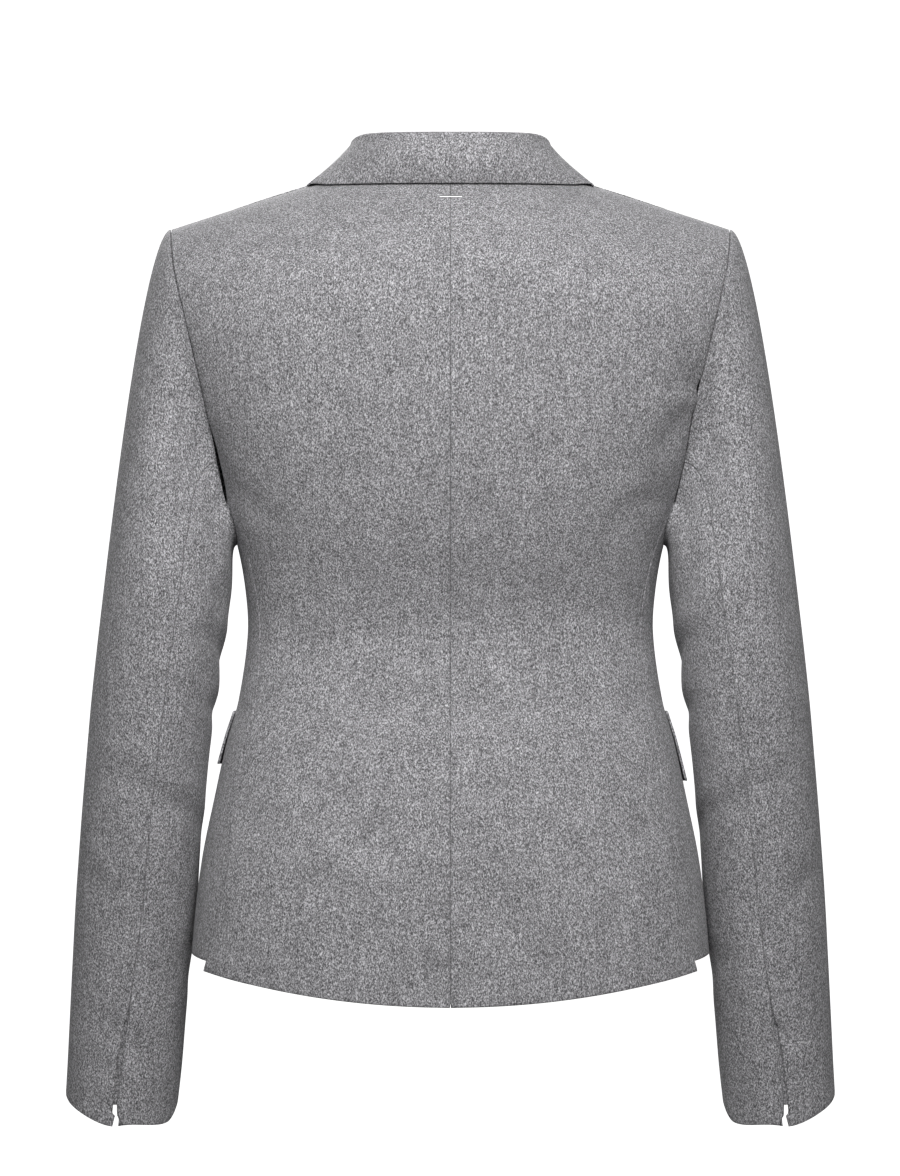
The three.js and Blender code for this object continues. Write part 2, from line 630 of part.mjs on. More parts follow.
// The angle of a column of the sleeve at a height, once the back seam has turned outwards.
function sleeveTurn(angle, z) {
  const { backAngle, frontAngle } = SLEEVE_SEAMS;
  const share = angle < backAngle ? smooth(angle, 0, backAngle) : 1 - smooth(angle, backAngle, frontAngle);
  return angle + read(SEAM_TURN, "z", "turn", z) * share;
}

function sleevePoint(side, angle, z) {
  const outer = read(SLEEVE, "z", "outer", z);
  const inner = read(SLEEVE, "z", "inner", z);
  const turn = radians(sleeveTurn(angle, z));
  const x = (outer + inner) / 2 + ((outer - inner) / 2) * signedPower(Math.cos(turn), SLEEVE_POWER);
  const depth = read(SLEEVE, "z", "depth", z) * signedPower(Math.sin(turn), SLEEVE_POWER);
  const y = read(SLEEVE, "z", "y", z) + depth;
  return new THREE.Vector3(side * x, y, z);
}

function sleeveColumn(side, station, angle) {
  const drop = (ARMHOLE_LEVELS[0] - station.p.z) / (ARMHOLE_LEVELS[0] - UNDERARM.lowZ);
  const tilt = radians(mix(HEAD.topTilt, HEAD.underTilt, smooth(drop, 0.5, 1)));
  const start = station.p.clone().addScaledVector(station.into, SEAM);
  const leave = station.into
    .clone()
    .multiplyScalar(Math.cos(tilt))
    .addScaledVector(station.n, Math.sin(tilt));
  const startNormal = station.n
    .clone()
    .multiplyScalar(Math.cos(tilt))
    .addScaledVector(station.into, -Math.sin(tilt));
  const end = sleevePoint(side, angle, BICEP_Z);
  const arrive = sleevePoint(side, angle, BICEP_Z - 10).sub(end).normalize();
  const reach = start.distanceTo(end);
  const sidePull = mix(HEAD.topPull, HEAD.sidePull, smooth(drop, 0, 0.4));
  const pull = mix(sidePull, HEAD.underPull, smooth(drop, 0.6, 1));
  const curve = new THREE.CubicBezierCurve3(
    start,
    start.clone().addScaledVector(leave, pull),
    end.clone().addScaledVector(arrive, -HEAD.endPull * reach),
    end,
  );
  const head = HEAD_STEPS.map((t) => curve.getPoint(t));
  const hem = read(CUFF, "angle", "z", sleeveTurn(angle, CUFF[0].z));
  const arm = SLEEVE_LEVELS.map((z) => sleevePoint(side, angle, z));
  return { points: [...head, ...arm, sleevePoint(side, angle, hem)], startNormal };
}

function sleeveGrid(side, indexes) {
  const ring = stations(side);
  const angles = stationAngles(ring);
  const columns = ring.map((station, i) => sleeveColumn(side, station, angles[i]));
  const around = [RING - 1, ...upTo(0, RING), 1].map((i) => columns[i % RING]);
  const rows = columns[0].points.map((_, j) => around.map((column) => column.points[j]));
  const whole = withNormals(rows, side);
  around.forEach((column, i) => {
    whole[0][i].n = column.startNormal;
  });
  const grid = whole.map((row) => indexes.map((i) => row[(i % RING) + 1]));
  return trim(grid, 0, 0, SEAM / 2, SEAM / 2);
}

// Opens the cuff slit: the edge column moves away from the seam towards the hem.
function openSlit(grid, column, neighbour) {
  for (const row of grid) {
    const edge = row[column].p;
    const width = CUFF_SLIT.width * smooth(-edge.z, -CUFF_SLIT.topZ, -CUFF_SLIT.fullZ);
    const notch = CUFF_SLIT.notch * smooth(-edge.z, -CUFF_SLIT.notchZ, -CUFF_SLIT.hemZ);
    edge.addScaledVector(row[neighbour].p.clone().sub(edge).normalize(), (width + notch) / 2);
  }
  return grid;
}

const upTo = (from, to) => Array.from({ length: to - from + 1 }, (_, i) => from + i);

function topSleeve(side) {
  const indexes = [...upTo(FRONT_SEAM, RING), ...upTo(1, BACK_SEAM)];
  const grid = sleeveGrid(side, indexes);
  return wall(openSlit(grid, indexes.length - 1, indexes.length - 2), CLOTH);
}

function underSleeve(side) {
  return wall(openSlit(sleeveGrid(side, upTo(BACK_SEAM, FRONT_SEAM)), 0, 1), CLOTH);
}

// ---- Small pieces ----
function flap(side) {
  const depth = side === LEFT ? FLAP.left : FLAP.right;
  const rows = steps(2).map((down) =>
    steps(12).map((share) => {
      const z = FLAP.topZ - depth * down;
      const start = radians(FLAP.startAngle);
      const end = angleAt(halfWidth(z) * FLAP.endShare, z, false);
      const out = FLAP.clear + FACING + FLAP.lift * down;
      return at(side, mix(start, end, share), z, out);
    }),
  );
  return wall(rows, FACING);
}

function button() {
  const { radius, thick } = BUTTON;
  const profile = [
    [0, 0],
    [radius * 0.8, 0],
    [radius, thick * 0.35],
    [radius, thick * 0.75],
    [radius * 0.9, thick],
    [radius * 0.72, thick],
    [radius * 0.64, thick * 0.72],
    [0, thick * 0.72],
  ].map(([x, y]) => new THREE.Vector2(x, y));
  const geometry = new THREE.LatheGeometry(profile, 28);
  geometry.deleteAttribute("normal");
  geometry.deleteAttribute("uv");
  const merged = mergeVertices(geometry, 1e-4);
  const seat = body(RIGHT, Math.PI, BUTTON.z);
  const normal = bodyNormal(RIGHT, Math.PI, BUTTON.z);
  const turn = new THREE.Quaternion().setFromUnitVectors(new THREE.Vector3(0, 1, 0), normal);
  merged.applyQuaternion(turn);
  const place = seat.addScaledVector(normal, SEAM + 0.2);
  return merged.translate(place.x, place.y, place.z);
}

function neckBar() {
  const out = NECK_BAR.thick - NECK_BAR.inset;
  const rows = [1, -1].map((up) =>
    steps(4).map((share) => {
      const x = NECK_BAR.length * (share - 0.5);
      const side = x < 0 ? RIGHT : LEFT;
      const z = NECK_BAR.z + (up * NECK_BAR.height) / 2;
      return at(side, angleAt(Math.abs(x), z, true), z, out);
    }),
  );
  return wall(rows, NECK_BAR.thick);
}

// ---- The blazer ----
const blazer = new THREE.Group();

function add(name, geometry, finish) {
  const mesh = new THREE.Mesh(geometry, new THREE.MeshStandardMaterial(finish));
  mesh.name = name;
  blazer.add(mesh);
}

for (const side of [LEFT, RIGHT]) {
  const word = side === LEFT ? "left" : "right";
  add(`back_${word}`, wall(backGrid(side), CLOTH), WOOL);
  add(`side_${word}`, wall(sideGrid(side), CLOTH), WOOL_DARK);
  add(`front_${word}`, wall(frontGrid(side), CLOTH), WOOL);
  add(`lapel_${word}`, wall(lapelGrid(side), FACING), WOOL_DARK);
  add(`top_sleeve_${word}`, topSleeve(side), WOOL);
  add(`under_sleeve_${word}`, underSleeve(side), WOOL_DARK);
  add(`pocket_flap_${word}`, flap(side), WOOL_DARK);
}
add("collar", wall(collarGrid(), COLLAR), WOOL_DARK);
add("front_button", button(), HORN);
add("neck_bar", neckBar(), STEEL);

export default blazer;
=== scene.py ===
"""A single breasted blazer in worn form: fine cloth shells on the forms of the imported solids.

Sizes are in millimetres in the part's own frame (+Z up, the front faces -Y, +X to the wearer's left), and
become metres when a mesh is made. Each shell follows the same sections and seams as its solid.
"""

import math

import bpy
import numpy as np
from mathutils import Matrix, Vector


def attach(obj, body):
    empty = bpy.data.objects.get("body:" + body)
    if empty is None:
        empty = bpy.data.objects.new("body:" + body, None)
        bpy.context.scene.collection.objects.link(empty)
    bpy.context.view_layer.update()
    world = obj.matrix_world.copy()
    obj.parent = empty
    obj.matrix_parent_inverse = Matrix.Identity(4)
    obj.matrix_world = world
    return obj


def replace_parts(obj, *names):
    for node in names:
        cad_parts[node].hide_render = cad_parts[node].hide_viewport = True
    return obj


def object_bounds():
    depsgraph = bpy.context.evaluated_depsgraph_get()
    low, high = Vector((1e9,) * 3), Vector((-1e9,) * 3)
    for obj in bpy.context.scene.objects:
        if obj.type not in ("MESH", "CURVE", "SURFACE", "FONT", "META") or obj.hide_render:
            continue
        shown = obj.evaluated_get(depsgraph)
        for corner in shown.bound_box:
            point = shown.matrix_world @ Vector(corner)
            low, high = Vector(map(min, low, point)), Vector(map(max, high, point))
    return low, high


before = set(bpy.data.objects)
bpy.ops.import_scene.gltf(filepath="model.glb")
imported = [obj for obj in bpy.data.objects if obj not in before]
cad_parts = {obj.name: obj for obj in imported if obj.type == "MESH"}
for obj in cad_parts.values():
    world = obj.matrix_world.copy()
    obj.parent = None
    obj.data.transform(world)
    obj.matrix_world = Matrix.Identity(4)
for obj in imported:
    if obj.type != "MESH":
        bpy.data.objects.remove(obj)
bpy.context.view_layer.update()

MM = 0.001
UP = np.array([0.0, 0.0, 1.0])
LEFT, RIGHT = 1, -1
WORD = {LEFT: "left", RIGHT: "right"}

# ---- Cloth ----
CLOTH = 1.8
FACING = 1.6
COLLAR = 2.0
COLLAR_EDGE = 1.2  # the collar thins towards the edge of its fall
SEAM = 0.3
SEAM_GAP = -0.06  # between the rounded edges of two panels, which press into each other
SEAM_ROUND = 1.5  # how far a seam's edge rounds out, in half thicknesses
ARMHOLE_ROUND = 0.8  # the same where the sleeve is eased into the armhole
FOLD_ROUND = 0.9  # the same for a folded edge

# ---- The body ----
SIDE_Y = -5
BACK_POWER = 2.5
FRONT_POWER = 2.3
BACK_ROUND = 90
FRONT_ROUND = 150
SHOULDER = dict(neck_x=62.5, tip_x=198.5, mid_x=105, mid_z=-13.2, slope=0.329, soften=40)
NECK_BACK_Y = 50
OVERLAP = 20
BREAK_Z = -320
BUTTON = dict(z=-338, radius=10, thick=3.4, clear=0.5, hole=1.05, hole_ring=2.1, thread=0.42)
# The button's half section from its back round the rim to its face, in shares of its radius and thickness.
BUTTON_PROFILE = dict(
    radius=[0, 0.7, 0.88, 0.98, 1, 0.97, 0.9, 0.8, 0.72, 0.6, 0.3, 0],
    height=[0, 0, 0.1, 0.35, 0.6, 0.85, 1, 0.98, 0.8, 0.7, 0.68, 0.68],
)
NECK_BAR = dict(z=-21.4, length=16, height=1.4, thick=1.0, clear=0.1, round=0.5)

# Half sections by height: half widths, and depths of centre back and centre front.
BODY = dict(
    z=[40, -45, -100, -150, -191, -235, -267, -300, -330, -377, -405, -448, -487, -530, -600],
    half=[228, 224, 210.5, 194, 177.5, 162.5, 151.5, 145.5, 144, 150.5, 158.5, 168, 176, 181.5, 187],
    back=[84, 96, 103, 104, 102, 95, 86, 74, 67, 74, 84, 95, 101, 104, 106],
    front=[-78, -98, -112, -126, -136, -140, -136, -126, -117, -116, -119, -123, -127, -129, -131],
)
# The armhole from the shoulder tip down: its distance from the centre line on the back and on the front.
ARMHOLE = dict(
    step=[0, 1, 2, 3, 4, 5, 6, 7, 8],
    z=[-45, -54, -72, -97, -124, -153, -182, -209, -235],
    back=[198.5, 198, 195.8, 190.2, 183.8, 177.2, 171, 165.5, 159.5],
    front=[198.5, 195.5, 189, 179.5, 171, 165, 160.5, 157, 152.5],
)
UNDERARM = dict(start=-235, low=-267)
# Where the side panel's two seams run, in shares of the half width.
SIDE_SEAMS = dict(
    z=[-235, -290, -330, -377, -420, -487, -532, -575],
    back=[159.5 / 162.5, 0.95, 0.935, 0.914, 0.912, 0.88, 0.9, 0.945],
    front=[152.5 / 162.5, 0.955, 0.955, 0.955, 0.958, 0.962, 0.965, 0.967],
)
HEM = dict(centre_back=-593, vent=-565, side=-557, power=1.6, front_sag=10, vent_step=2.5)
VENT = dict(lift_top=-462, top=-487, full=-507, underlap=10, lift=CLOTH + 0.7, near=14, far=46)
# The cutaway edge of the fronts: its distance past the centre line.
FRONT_EDGE = dict(
    z=[BREAK_Z, -385, -430, -470, -505, -535, -556, -569, -577],
    past=[-OVERLAP, -OVERLAP, -15, -3, 14, 36, 60, 84, 112],
)
# How deep the left front lies under the right one, and how far from the centre line that reaches.
UNDER_FRONT = dict(z=[-170, -215, -245, -325, -370, -600], depth=[0, 3.5, 8, 8, 3.2, 3.0])
UNDER_REACH = dict(full=24, none=62)
# Rows of the front's cloth: their heights at the front edge (inner) and at the armhole or side seam (outer).
FRONT_ROWS = dict(
    step=[0, 1, 2, 3, 4, 5, 6, 7, 8, 9, 10, 11, 12],
    inner=[0, -9, -30, -60, -95, -130, -165, -200, -232, -262, -290, -312, -330],
    outer=[-45, -54, -72, -97, -124, -153, -182, -209, -235, -262, -290, -310, -330],
)
LOW_FRONT_Z = -330

# ---- Lapels and collar ----
ROLL = dict(top_x=60, top_z=-30, gorge_z=-42.0)
LAPEL_EDGE = dict(
    z=[-312, -290, -250, -200, -150, -112, -86],
    x=[-13, -1, 24, 57, 90, 115, 126],
)
LAPEL_LIFT = 2.6
COLLAR_FOLD_RADIUS = 3.1
COLLAR_CLEAR = 0.6
RIDGE_CLEAR = 0.2
# Places round the neck: up to the side neck point, to the shoulder tip, and to the collar's front end.
NECK_COLUMNS = 5
SHOULDER_COLUMNS = 11
COLLAR_END = 9
NECK_MIDDLE = np.array([0.0, -20.0, 0.0])
COLLAR_ROWS = dict(
    seam=[0, 1, 2, 3, 4, 5, 6, 7, 8, 9],
    seam_z=[0, 0, 0, 0, 0, 0.1, -3.6, -11, -23, -37.8],
    fold_x=[0, 18.5, 35.5, 50.5, 61.5, 67.5, 68.5, 67, 64, 59.5],
    fold_y=[55, 53.5, 48, 37, 21, 2, -18, -38, -57, -73],
    fold_z=[22, 22, 22, 21.8, 21, 18, 11, 0, -15, -36],
    mid_x=[0, 21.5, 41.5, 59.5, 73.5, 82, 86.5, 90, 91.5, 92.5],
    mid_y=[65, 63, 56.5, 44, 26, 3, -25, -49, -67, -84],
    mid_z=[6, 6, 6, 6, 7, 5.5, -2, -18, -40, -62],
    edge_x=[0, 23.5, 46, 67.5, 86.5, 101, 108, 112, 114, 115],
    edge_z=[-13, -13, -13, -13, -13, -12.9, -24, -33, -42, -50],
)

# ---- Sleeves ----
BICEP_Z = -306
SLEEVE = dict(
    z=[-306, -345, -380, -415, -450, -485, -520, -560, -600, -640, -685],
    outer=[247.3, 251.8, 255.5, 258.6, 261.6, 264.3, 266.8, 269, 271.1, 273.2, 276],
    inner=[156.2, 162, 166.6, 171.2, 174.6, 178, 180.2, 184.6, 188.2, 191.6, 197],
    y=[-8, -9, -11, -15, -20, -25, -31, -37, -43, -49, -56],
    depth=[60, 57, 54, 52, 50, 48, 46, 44, 42, 40, 38.5],
)
SLEEVE_POWER = 0.94
SLEEVE_SEAMS = dict(back_angle=101, front_angle=256)
ARMHOLE_COLUMNS = 48  # from the shoulder tip down to the underarm, on each side
SEAM_COLUMN = 42  # where the sleeve's two seams leave the armhole
SEAM_TURN = dict(z=[-306, -430, -554, -640, -685], turn=[0, -2, -6, -14, -16])
CUFF = dict(
    angle=[0, 40, 80, 100, 150, 180, 225, 270, 320, 360],
    z=[-657, -669, -680, -679.5, -678, -664, -655, -651, -652, -657],
)
CUFF_SLIT = dict(top=-578, full=-618, width=1.8, notch_top=-664, hem=-680, notch=4)
CUFF_LAP = dict(top=-572, end=-668, clear=0.3, thick=1.2, round=0.6, reach=4)
FLAP = dict(top=-385, left=38, right=50, start=86, end_share=0.42, clear=0.4, lift=1.2)

# ---- Soft creases: a trough (depth below 0) or ridge along a line, in mm, with its own width ----
# On the back: x from the centre to the wearer's left, and z.
BACK_CREASES = dict(
    x0=[-20, 95, 60, -150, -165, -172, 150, 168, -60, 40, -110, 112],
    z0=[-498, -432, -560, -232, -150, -170, -228, -190, -300, -330, -340, -352],
    x1=[-76, 30, 84, -118, -184, -150, 120, 158, -128, 104, -62, 66],
    z1=[-576, -492, -500, -252, -158, -205, -250, -232, -322, -345, -362, -372],
    width=[13, 16, 12, 9, 6, 8, 10, 9, 14, 13, 12, 13],
    depth=[-2.8, -2.2, -1.4, -2.0, -2.4, -2.1, -1.8, -2.2, -1.4, -1.2, -1.2, -1.0],
)
# On the fronts: x to the piece's own side, and z.
FRONT_CREASES = dict(
    x0=[24, 26, 30, 40, 118, 130, 92],
    z0=[-338, -344, -332, -420, -236, -300, -470],
    x1=[92, 100, 108, 84, 148, 96, 120],
    z1=[-316, -352, -290, -470, -200, -326, -540],
    width=[10, 9, 12, 14, 9, 12, 15],
    depth=[-1.2, -1.0, -0.8, -0.9, -1.5, -0.8, -0.9],
)
# On the sleeves: degrees round from the outer side through the back, and z.
SLEEVE_CREASES = dict(
    a0=[95, 120, 150, 60, 110, 230, 250, 30, 130, 80],
    z0=[-270, -330, -380, -430, -452, -400, -440, -500, -560, -610],
    a1=[150, 190, 215, 120, 175, 290, 310, 75, 185, 120],
    z1=[-306, -352, -402, -452, -470, -420, -428, -524, -575, -632],
    width=[9, 8, 8, 9, 8, 9, 9, 10, 10, 9],
    depth=[-2.2, -2.1, -1.9, -1.8, -1.6, -2.4, -1.9, -1.2, -1.3, -1.2],
)


# ---- Small helpers ----
def smooth(value, low, high):
    share = np.clip((value - low) / (high - low), 0, 1)
    return share * share * (3 - 2 * share)


def mix(a, b, share):
    return a + (b - a) * share


def signed_power(value, power):
    return np.sign(value) * np.abs(value) ** power


def unit(v):
    return v / np.maximum(np.linalg.norm(v, axis=-1, keepdims=True), 1e-9)


def dot(a, b):
    return np.sum(a * b, axis=-1, keepdims=True)


def read(table, key, name, at):
    """One column of a table at key values, by a smooth cubic through its rows."""
    keys, values = np.array(table[key], float), np.array(table[name], float)
    if keys[0] > keys[-1]:
        keys, values = keys[::-1], values[::-1]
    last = len(keys) - 1
    before = np.maximum(np.arange(last + 1) - 1, 0)
    after = np.minimum(np.arange(last + 1) + 1, last)
    slope = (values[after] - values[before]) / (keys[after] - keys[before])
    at = np.clip(np.asarray(at, float), keys[0], keys[-1])
    i = np.clip(np.searchsorted(keys, at, side="right") - 1, 0, last - 1)
    gap = keys[i + 1] - keys[i]
    t = (at - keys[i]) / gap
    start = values[i] * (2 * t**3 - 3 * t**2 + 1) + slope[i] * gap * (t**3 - 2 * t**2 + t)
    return start + values[i + 1] * (3 * t**2 - 2 * t**3) + slope[i + 1] * gap * (t**3 - t**2)


def creased(across, up, table, first, second):
    """The sum of a table's soft troughs and ridges at points of a surface."""
    total = np.zeros(np.broadcast(across, up).shape)
    for a0, z0, a1, z1, width, depth in zip(
        table[first], table["z0"], table[second], table["z1"], table["width"], table["depth"]
    ):
        line = np.array([a1 - a0, z1 - z0], float)
        length = np.hypot(*line)
        line /= length
        along = (across - a0) * line[0] + (up - z0) * line[1]
        aside = -(across - a0) * line[1] + (up - z0) * line[0]
        bend = aside - 0.06 * length * np.sin(np.pi * np.clip(along / length, 0, 1))
        fade = smooth(along, -0.35 * length, 0.3 * length) * smooth(-along, -1.35 * length, -0.7 * length)
        trough = np.exp(-((bend / width) ** 2)) - 0.45 * np.exp(-(((bend - 2 * width) / width) ** 2))
        total += depth * fade * trough
    return total


# ---- The body as one surface: an angle from centre back (0) to centre front (pi), and a height ----
def ridge_z(x):
    far = math.hypot(SHOULDER["mid_x"], SHOULDER["soften"])
    return SHOULDER["mid_z"] - SHOULDER["slope"] * (np.hypot(x, SHOULDER["soften"]) - far)


def half_width(z):
    return read(BODY, "z", "half", z)


def body(side, angle, z):
    angle, z = np.broadcast_arrays(np.asarray(angle, float), np.asarray(z, float))
    back = np.cos(angle) > 0
    power = 2 / np.where(back, BACK_POWER, FRONT_POWER)
    x = half_width(z) * signed_power(np.sin(angle), power)
    centre = np.where(back, read(BODY, "z", "back", z), read(BODY, "z", "front", z))
    full = (centre - SIDE_Y) * np.abs(np.cos(angle)) ** power
    below = np.clip((ridge_z(x) - z) / np.where(back, BACK_ROUND, FRONT_ROUND), 0, 1)
    y = SIDE_Y + full * np.sqrt(1 - (1 - below) ** 2)
    return np.stack([side * x, y, z], axis=-1)


def angle_at(x, z, back):
    power = (BACK_POWER if back else FRONT_POWER) / 2
    turn = np.arcsin(np.clip(signed_power(np.asarray(x) / half_width(z), power), -1, 1))
    return turn if back else np.pi - turn


def body_normal(side, angle, z):
    here = body(side, angle, z)
    x = here[..., 0]
    room = ridge_z(x) - here[..., 2]
    along = body(side, angle + 0.004, z) - body(side, angle - 0.004, z)
    rise = np.clip(room / 2, 0.02, 0.4)
    up = body(side, angle, z + rise) - body(side, angle, z - rise)
    normal = unit(np.cross(up, along) * side)
    fall = SHOULDER["slope"] * x / np.hypot(x, SHOULDER["soften"])
    ridge = unit(np.stack([fall, np.zeros_like(fall), np.ones_like(fall)], axis=-1))
    return np.where(room[..., None] < 0.05, ridge, normal)


def at(side, angle, z, out=0):
    """Points of the body moved out along its normals, and those normals."""
    normal = body_normal(side, angle, z)
    return body(side, angle, z) + normal * np.asarray(out, float)[..., None], normal


# ---- Grids and walls ----
def grid_normals(points, sign):
    down = np.gradient(points, axis=0)
    across = np.gradient(points, axis=1)
    return unit(np.cross(down, across) * sign)


def trimmed(points, top, bottom, start, end):
    """Moves the border points of a grid inwards along the cloth."""
    moved = points.copy()
    every = slice(None)
    for border, neighbour, by in (
        ((every, 0), (every, 1), start),
        ((every, -1), (every, -2), end),
        ((0,), (1,), top),
        ((-1,), (-2,), bottom),
    ):
        moved[border] += unit(points[neighbour] - points[border]) * by
    return moved


def mesh_object(name, vertices, faces, slot="wool"):
    mesh = bpy.data.meshes.new(name)
    mesh.from_pydata((np.asarray(vertices) * MM).tolist(), [], [list(map(int, f)) for f in faces])
    mesh.update()
    mesh.shade_smooth()
    piece = bpy.data.objects.new(name, mesh)
    bpy.context.scene.collection.objects.link(piece)
    mesh.materials.append(MATERIALS[slot])
    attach(piece, "root")
    return piece


def border_loop(rows, columns):
    """The rows and columns of a grid's border points, once round."""
    return np.array(
        [
            *[(0, i) for i in range(columns - 1)],
            *[(j, columns - 1) for j in range(rows - 1)],
            *[(rows - 1, i) for i in range(columns - 1, 0, -1)],
            *[(j, 0) for j in range(rows - 1, 0, -1)],
        ]
    ).T


def wall(name, points, normals, thickness, rounds, slot="wool"):
    """A closed cloth shell: outer and inner faces joined by rounded edges.

    rounds gives how far the top, bottom, start and end edges bulge, in half thicknesses.
    """
    rows, columns = points.shape[:2]
    depth = np.broadcast_to(thickness, (rows, columns))[..., None]
    top, bottom, start, end = (np.min(thickness) / 2 * r + SEAM_GAP / 2 for r in rounds)
    outer = trimmed(points, top, bottom, start, end)
    inner = outer - normals * depth
    index = np.arange(rows * columns).reshape(rows, columns)
    js, ks = border_loop(rows, columns)
    count = len(js)
    away = np.zeros((count, 3))
    bulge = np.zeros((count, 1))
    for hit, near, amount in (
        (js == 0, (np.minimum(js + 1, rows - 1), ks), rounds[0]),
        (js == rows - 1, (np.maximum(js - 1, 0), ks), rounds[1]),
        (ks == 0, (js, np.minimum(ks + 1, columns - 1)), rounds[2]),
        (ks == columns - 1, (js, np.maximum(ks - 1, 0)), rounds[3]),
    ):
        away += np.where(hit[:, None], unit(outer[js, ks] - outer[near]), 0)
        bulge = np.maximum(bulge, np.where(hit[:, None], amount, 0))
    away = unit(away)
    middle = (outer[js, ks] + inner[js, ks]) / 2
    half = (outer[js, ks] - inner[js, ks]) / 2
    rims = []
    for turn in (45, 90, 135):
        swing = math.radians(turn)
        reach = bulge * np.linalg.norm(half, axis=1, keepdims=True) * math.sin(swing)
        rims.append(middle + half * math.cos(swing) + away * reach)
    vertices = np.concatenate([outer.reshape(-1, 3), inner.reshape(-1, 3), *rims])
    total = rows * columns
    quads = np.stack([index[:-1, :-1], index[1:, :-1], index[1:, 1:], index[:-1, 1:]], -1).reshape(-1, 4)
    border = index[js, ks]
    rings = [border, *[2 * total + k * count + np.arange(count) for k in range(len(rims))], border + total]
    strips = [
        np.stack([a, np.roll(a, -1), np.roll(b, -1), b], -1) for a, b in zip(rings[:-1], rings[1:])
    ]
    flip = np.dot(np.cross(outer[1, 0] - outer[0, 0], outer[1, 1] - outer[0, 0]), normals[0, 0]) < 0
    faces = np.concatenate([quads, quads[:, ::-1] + total, *strips])
    if flip:
        faces = faces[:, ::-1]
    return mesh_object(name, vertices, faces, slot)


# ---- Borders of the panels ----
def armhole_z(down):
    return read(ARMHOLE, "step", "z", down * ARMHOLE["step"][-1])


def armhole_angle(z, back):
    return angle_at(read(ARMHOLE, "z", "back" if back else "front", z), z, back)


def side_seam(z, back):
    share = read(SIDE_SEAMS, "z", "back" if back else "front", z)
    return angle_at(share * half_width(z), z, back)


def neck_back(turn):
    """The angle and height of the back neckline, by its turn from centre back (0) to the side (1)."""
    x = SHOULDER["neck_x"] * np.sin(turn * np.pi / 2)
    y = SIDE_Y + (NECK_BACK_Y - SIDE_Y) * np.cos(turn * np.pi / 2)
    z = ridge_z(x)
    for _ in range(12):
        full = (read(BODY, "z", "back", z) - SIDE_Y) * np.cos(angle_at(x, z, True)) ** (2 / BACK_POWER)
        z = ridge_z(x) - BACK_ROUND * (1 - np.sqrt(1 - np.minimum((y - SIDE_Y) / full, 1) ** 2))
    return angle_at(x, z, True), z


def roll_x(z):
    slope = (ROLL["top_x"] + OVERLAP) / (ROLL["top_z"] - BREAK_Z)
    share = np.clip((z - ROLL["top_z"]) / (ridge_z(SHOULDER["neck_x"]) - ROLL["top_z"]), 0, 1)
    upper = mix(ROLL["top_x"], SHOULDER["neck_x"], np.sin(share * np.pi / 2))
    return np.where(z < ROLL["top_z"], ROLL["top_x"] + (z - ROLL["top_z"]) * slope, upper)


def front_border(z):
    x = np.where(z > BREAK_Z, roll_x(z), read(FRONT_EDGE, "z", "past", z))
    return angle_at(x, z, False)


# ---- Panels ----
def back_panel(side):
    columns, upper, lower = 56, 60, 104
    share = np.linspace(0, 1, columns + 1)[None, :]
    neck = NECK_COLUMNS / SHOULDER_COLUMNS
    turn_angle, turn_z = neck_back(np.clip(share / neck, 0, 1))
    seam_x = mix(SHOULDER["neck_x"], SHOULDER["tip_x"], np.clip((share - neck) / (1 - neck), 0, 1))
    seam_z = ridge_z(seam_x)
    top_angle = np.where(share < neck, turn_angle, angle_at(seam_x, seam_z, True))
    top_z = np.where(share < neck, turn_z, seam_z)
    down = np.linspace(0, 1, upper + 1)[:, None]
    down = down**1.25
    start = UNDERARM["start"]
    edge_z = armhole_z(down)
    low = armhole_angle(start, True) * share
    plain_z = mix(mix(top_z[:, :1], top_z[:, -1:], share), start, down)
    z = mix(top_z, start, down) + mix(mix(top_z[:, :1], start, down), edge_z, share) - plain_z
    plain_angle = mix(top_angle[:, -1:] * share, low, down)
    angle = mix(top_angle, low, down) + armhole_angle(edge_z, True) * share - plain_angle
    angle[0], z[0] = top_angle, top_z
    fall = np.linspace(0, 1, lower + 1)[1:, None]
    hem = mix(HEM["centre_back"], HEM["vent"], np.sin(side_seam(HEM["vent"], True) * share) ** HEM["power"])
    low_z = mix(start, hem, fall)
    seam = side_seam(low_z, True)
    low_angle = seam * share
    angle = np.concatenate([angle, low_angle])
    z = np.concatenate([z, low_z])
    from_edge = np.abs(body(side, seam, low_z)[..., 0] - body(side, low_angle, low_z)[..., 0])
    lift = smooth(-low_z, -VENT["lift_top"], -VENT["top"]) * smooth(-from_edge, -VENT["far"], -VENT["near"])
    out = np.concatenate([np.zeros((upper + 1, columns + 1)), VENT["lift"] * lift])
    points, normals = at(side, angle, z, out)
    dent = creased(points[..., 0], points[..., 2], BACK_CREASES, "x0", "x1")
    dent *= smooth(np.abs(points[..., 0]), 0, 12)
    points = points + normals * dent[..., None]
    rounds = (SEAM_ROUND, FOLD_ROUND, SEAM_ROUND, SEAM_ROUND)
    return wall(f"back_cloth_{WORD[side]}", points, normals, CLOTH, rounds)


def underarm_z(share):
    return UNDERARM["start"] - (UNDERARM["start"] - UNDERARM["low"]) * np.sqrt(1 - (2 * share - 1) ** 2)


